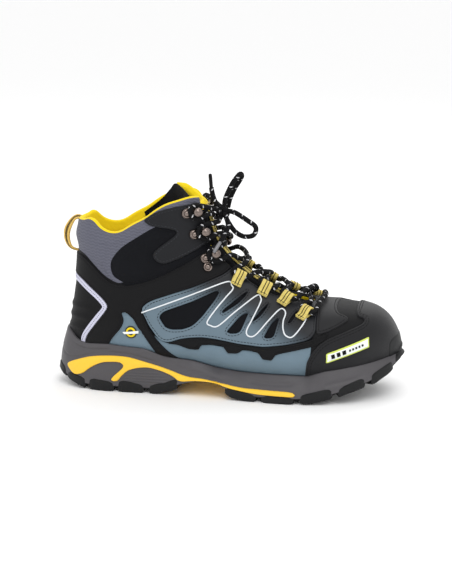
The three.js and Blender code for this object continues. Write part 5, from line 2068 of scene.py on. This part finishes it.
    def way_down(self, first: Side, middle: float) -> list[Array]:
        """One end's way down, changing sides at every station."""
        order = [first, Side.INNER if first is Side.OUTER else Side.OUTER]
        points: list[Array] = []
        for i in range(6, -1, -1):
            side = order[i % 2]
            seat = self.seats[side][i]
            if i < 6:
                above = self.seats[order[(i + 1) % 2]][i + 1]
                lift = (0.0, 0.0) if i else (3.5, 1.0)
                points += self.crossing(above, seat, middle + lift[0], EDGE_RISE + lift[1])
            points += self.passing(seat, i, side)
        return points

    def build_lace(self) -> None:
        """Threads the lace from the knot, down both sides and across at the toe."""
        gap = KNOT_SIZE[1] + 1.3
        outer, inner = self.seats[Side.OUTER][0], self.seats[Side.INNER][0]
        route = [KNOT + [-2, -gap + 3, 1], *self.way_down(Side.OUTER, LOW)]
        route += self.crossing(outer, inner, EDGE_RISE, EDGE_RISE)
        route += [*self.way_down(Side.INNER, HIGH)[::-1], KNOT + [-2, gap - 3, 1]]
        line = spline(np.array(route), 1.0)
        self.fit(self.cord_piece("lace_run", line), "lace")

    def build_hardware(self) -> None:
        """Makes every loop and hook."""
        for side, seats in self.seats.items():
            for i, seat in enumerate(seats[: len(LOOP_PLACES)], 1):
                self.loop(f"lace_loop_{side.name.lower()}_{i}", seat)
            for i, seat in enumerate(seats[len(LOOP_PLACES) :], 1):
                self.hook(f"hook_{side.name.lower()}_{i}", seat, i == 1, side)

    def loop(self, name: str, seat: Seat) -> None:
        """Folds a webbing loop round the lace."""
        r = LACE_D / 2 + GAP + WEB_T / 2
        turns = np.radians(np.arange(-90, 101, 19))
        bend = [(r * math.cos(a), r + 0.55 + r * math.sin(a)) for a in turns]
        profile = [(-LOOP_REACH, 0.5), (-5, 0.5), *bend, (-3.5, 2 * r - 1.2), (-6, 2.4), (-LOOP_REACH, 1.7)]
        flat = spline(np.array(profile), 0.8)
        line = np.array([seat.at(x, 0, z) for x, z in flat])
        tangent = unit(np.gradient(line, axis=0))
        ups = np.cross(tangent, seat.across)
        band, lines = Soup(), Soup()
        band.add(*sweep(line, band_section(LOOP_W, WEB_T), ups))
        sign = 1.0 if (ups[-1] @ seat.out) > 0 else -1.0
        for across in (-1.3, 1.3):
            lines.add(*sweep(line + seat.across * across + ups * sign * (WEB_T / 2 + 0.05), disc(0.36, 6), ups))
        for x in (-9.2, -5.0):
            self.bar_tack(lines, seat, x)
        piece = band.make(name + "_webbing", self.form, self.paints[Look.WEBBING])
        self.fit(piece, name)
        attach(lines.make(name + "_lines", self.form, self.paints[Look.THREAD]), "boot")

    def bar_tack(self, lines: Soup, seat: Seat, x: float) -> None:
        """Sews across a loop's end."""
        rise = 2.35 if x < -8 else 3.0
        way = np.array([seat.at(x, y, rise) for y in np.linspace(0.6 - LOOP_W / 2, LOOP_W / 2 - 0.6, 6)])
        lines.add(*sweep(way, disc(0.25, 5)))

    def hook(self, name: str, seat: Seat, doubled: bool, side: Side) -> None:
        """Rivets a hook to its stay.

        Args:
            name: the hook's name.
            seat: where it sits.
            doubled: whether it has a second rivet.
            side: the half of the boot it is on.
        """
        ball = [
            (2.0, -0.5), (1.9, 1.2), (1.9, 5.6), (3.5, 5.9), (4.0, 6.7), (4.1, 7.5), (3.8, 8.5), (3.1, 9.4),
            (2.3, 9.7), (2.1, 9.55), (1.5, 9.9), (0.8, 10.1), (0, 10.15),
        ]
        rivet = [
            (4.0, -0.8), (4.0, 0.9), (3.7, 1.4), (3.0, 1.7), (2.6, 1.55), (2.5, 1.9), (2.1, 2.6), (1.4, 3.1), (0.7, 3.35), (0, 3.4),
        ]
        soup = Soup()
        soup.add(*turned(ball, seat.origin, seat.out, 28))
        soup.add(*turned(rivet, seat.at(-8, 0, 0), seat.out, 28))
        self.plate(soup, seat, (-8.0, 0.0))
        if doubled:
            other = seat_at(self.form, *EXTRA_RIVET, side)
            soup.add(*turned(rivet, other.origin, seat.out, 28))
        piece = soup.make(name + "_metal", self.form, self.paints[Look.GUNMETAL], 35)
        self.fit(piece, name)

    def plate(self, soup: Soup, seat: Seat, ends: tuple[float, float]) -> None:
        """Adds the rounded plate under a hook."""
        a = np.radians(np.arange(-90, 91, 15))
        right = [(ends[1] + PLATE_R * math.cos(t), PLATE_R * math.sin(t)) for t in a]
        left = [(ends[0] - PLATE_R * math.cos(t), -PLATE_R * math.sin(t)) for t in a]
        loop = np.array(right + left)
        rings = []
        for inset, z in ((0.0, -1.5), (0.0, 0.6), (0.4, 1.0)):
            mid = np.array([np.clip(x, *ends) for x in loop[:, 0]])
            share = 1 - inset / PLATE_R
            rings.append(np.array([seat.at(m + (x - m) * share, y * share, z) for m, (x, y) in zip(mid, loop)]))
        n = len(loop)
        soup.add(np.vstack(rings), ring_faces(len(rings), n) + [[2 * n + i for i in range(n)]])

    def pull_loop(self) -> None:
        """Sews the pull loop to the back of the collar."""
        flat = spline(np.array(PULL_LOOP, float), 1.0)
        line = np.column_stack([flat[:, 0], np.zeros(len(flat)), flat[:, 1]])
        flat_up = np.cross(unit(np.gradient(line, axis=0)), [0, 1, 0])
        twist = math.radians(PULL_TWIST) * np.sin(np.linspace(0, math.pi, len(line)))[:, None]
        outward = np.sign(((line - line.mean(0)) * flat_up).sum())
        ups = flat_up * np.cos(twist) + [0, -outward, 0] * np.sin(twist)
        band, middle, edges = Soup(), Soup(), Soup()
        band.add(*sweep(line, band_section(9.8, 1.5), ups))
        middle.add(*sweep(line, band_section(4.2, 1.9), ups))
        for y in (-1.0, 1.0):
            beside = np.cross(unit(np.gradient(line, axis=0)), ups)
            edges.add(*sweep(line + beside * y, band_section(0.5, 2.2), ups))
        self.fit(band.make("pull_loop_webbing", self.form, self.paints[Look.PULL]), "heel_pull_loop")
        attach(middle.make("pull_loop_centre", self.form, self.paints[Look.THREAD]), "boot")
        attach(edges.make("pull_loop_lines", self.form, self.paints[Look.PULL]), "boot")


# ---------------------------------------------------------------- the whole boot


@dataclass
class Boot:
    """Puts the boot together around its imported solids."""

    frame: dict
    paints: Paints

    def origin(self) -> Array:
        """The shift from design millimetres to the frame, read from pieces whose place is known."""
        badge_low, badge_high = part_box("heel_badge")
        pull_low, pull_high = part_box("heel_pull_loop")
        x = (badge_low[0] + badge_high[0]) / 2 / MM - BADGE[0]
        y = (pull_low[1] + pull_high[1]) / 2 / MM
        return np.array([x, y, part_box("outsole_heel")[0][2] / MM])

    def build(self) -> None:
        """Makes every piece."""
        form = Form(self.origin())
        lacing = Lacing(form, self.paints)
        lacing.build_cords()
        lacing.build_lace()
        lacing.build_hardware()
        lacing.pull_loop()
        upper = Upper(form, self.paints)
        upper.build()
        Tongue(form, self.paints, upper).build()
        Sole(form, self.paints, upper).build()
        self.inner_parts()

    def inner_parts(self) -> None:
        """Gives the solids that stay their finishes."""
        looks = {
            "insole_board": Look.BOARD,
            "footbed": Look.TEXTILE,
            "toe_cap": Look.GUNMETAL,
            "heel_counter": Look.BOARD,
            "shank": Look.GUNMETAL,
        }
        for node, look in looks.items():
            solid = bpy.data.objects[node]
            solid.data.materials.clear()
            solid.data.materials.append(self.paints[look])


def main() -> None:
    """Builds the scene."""
    logging.basicConfig(level=logging.INFO, format="%(message)s")
    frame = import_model()
    paints = Paints()
    Studio().build(paints)
    Boot(frame, paints).build()


if __name__ == "__main__":
    main()
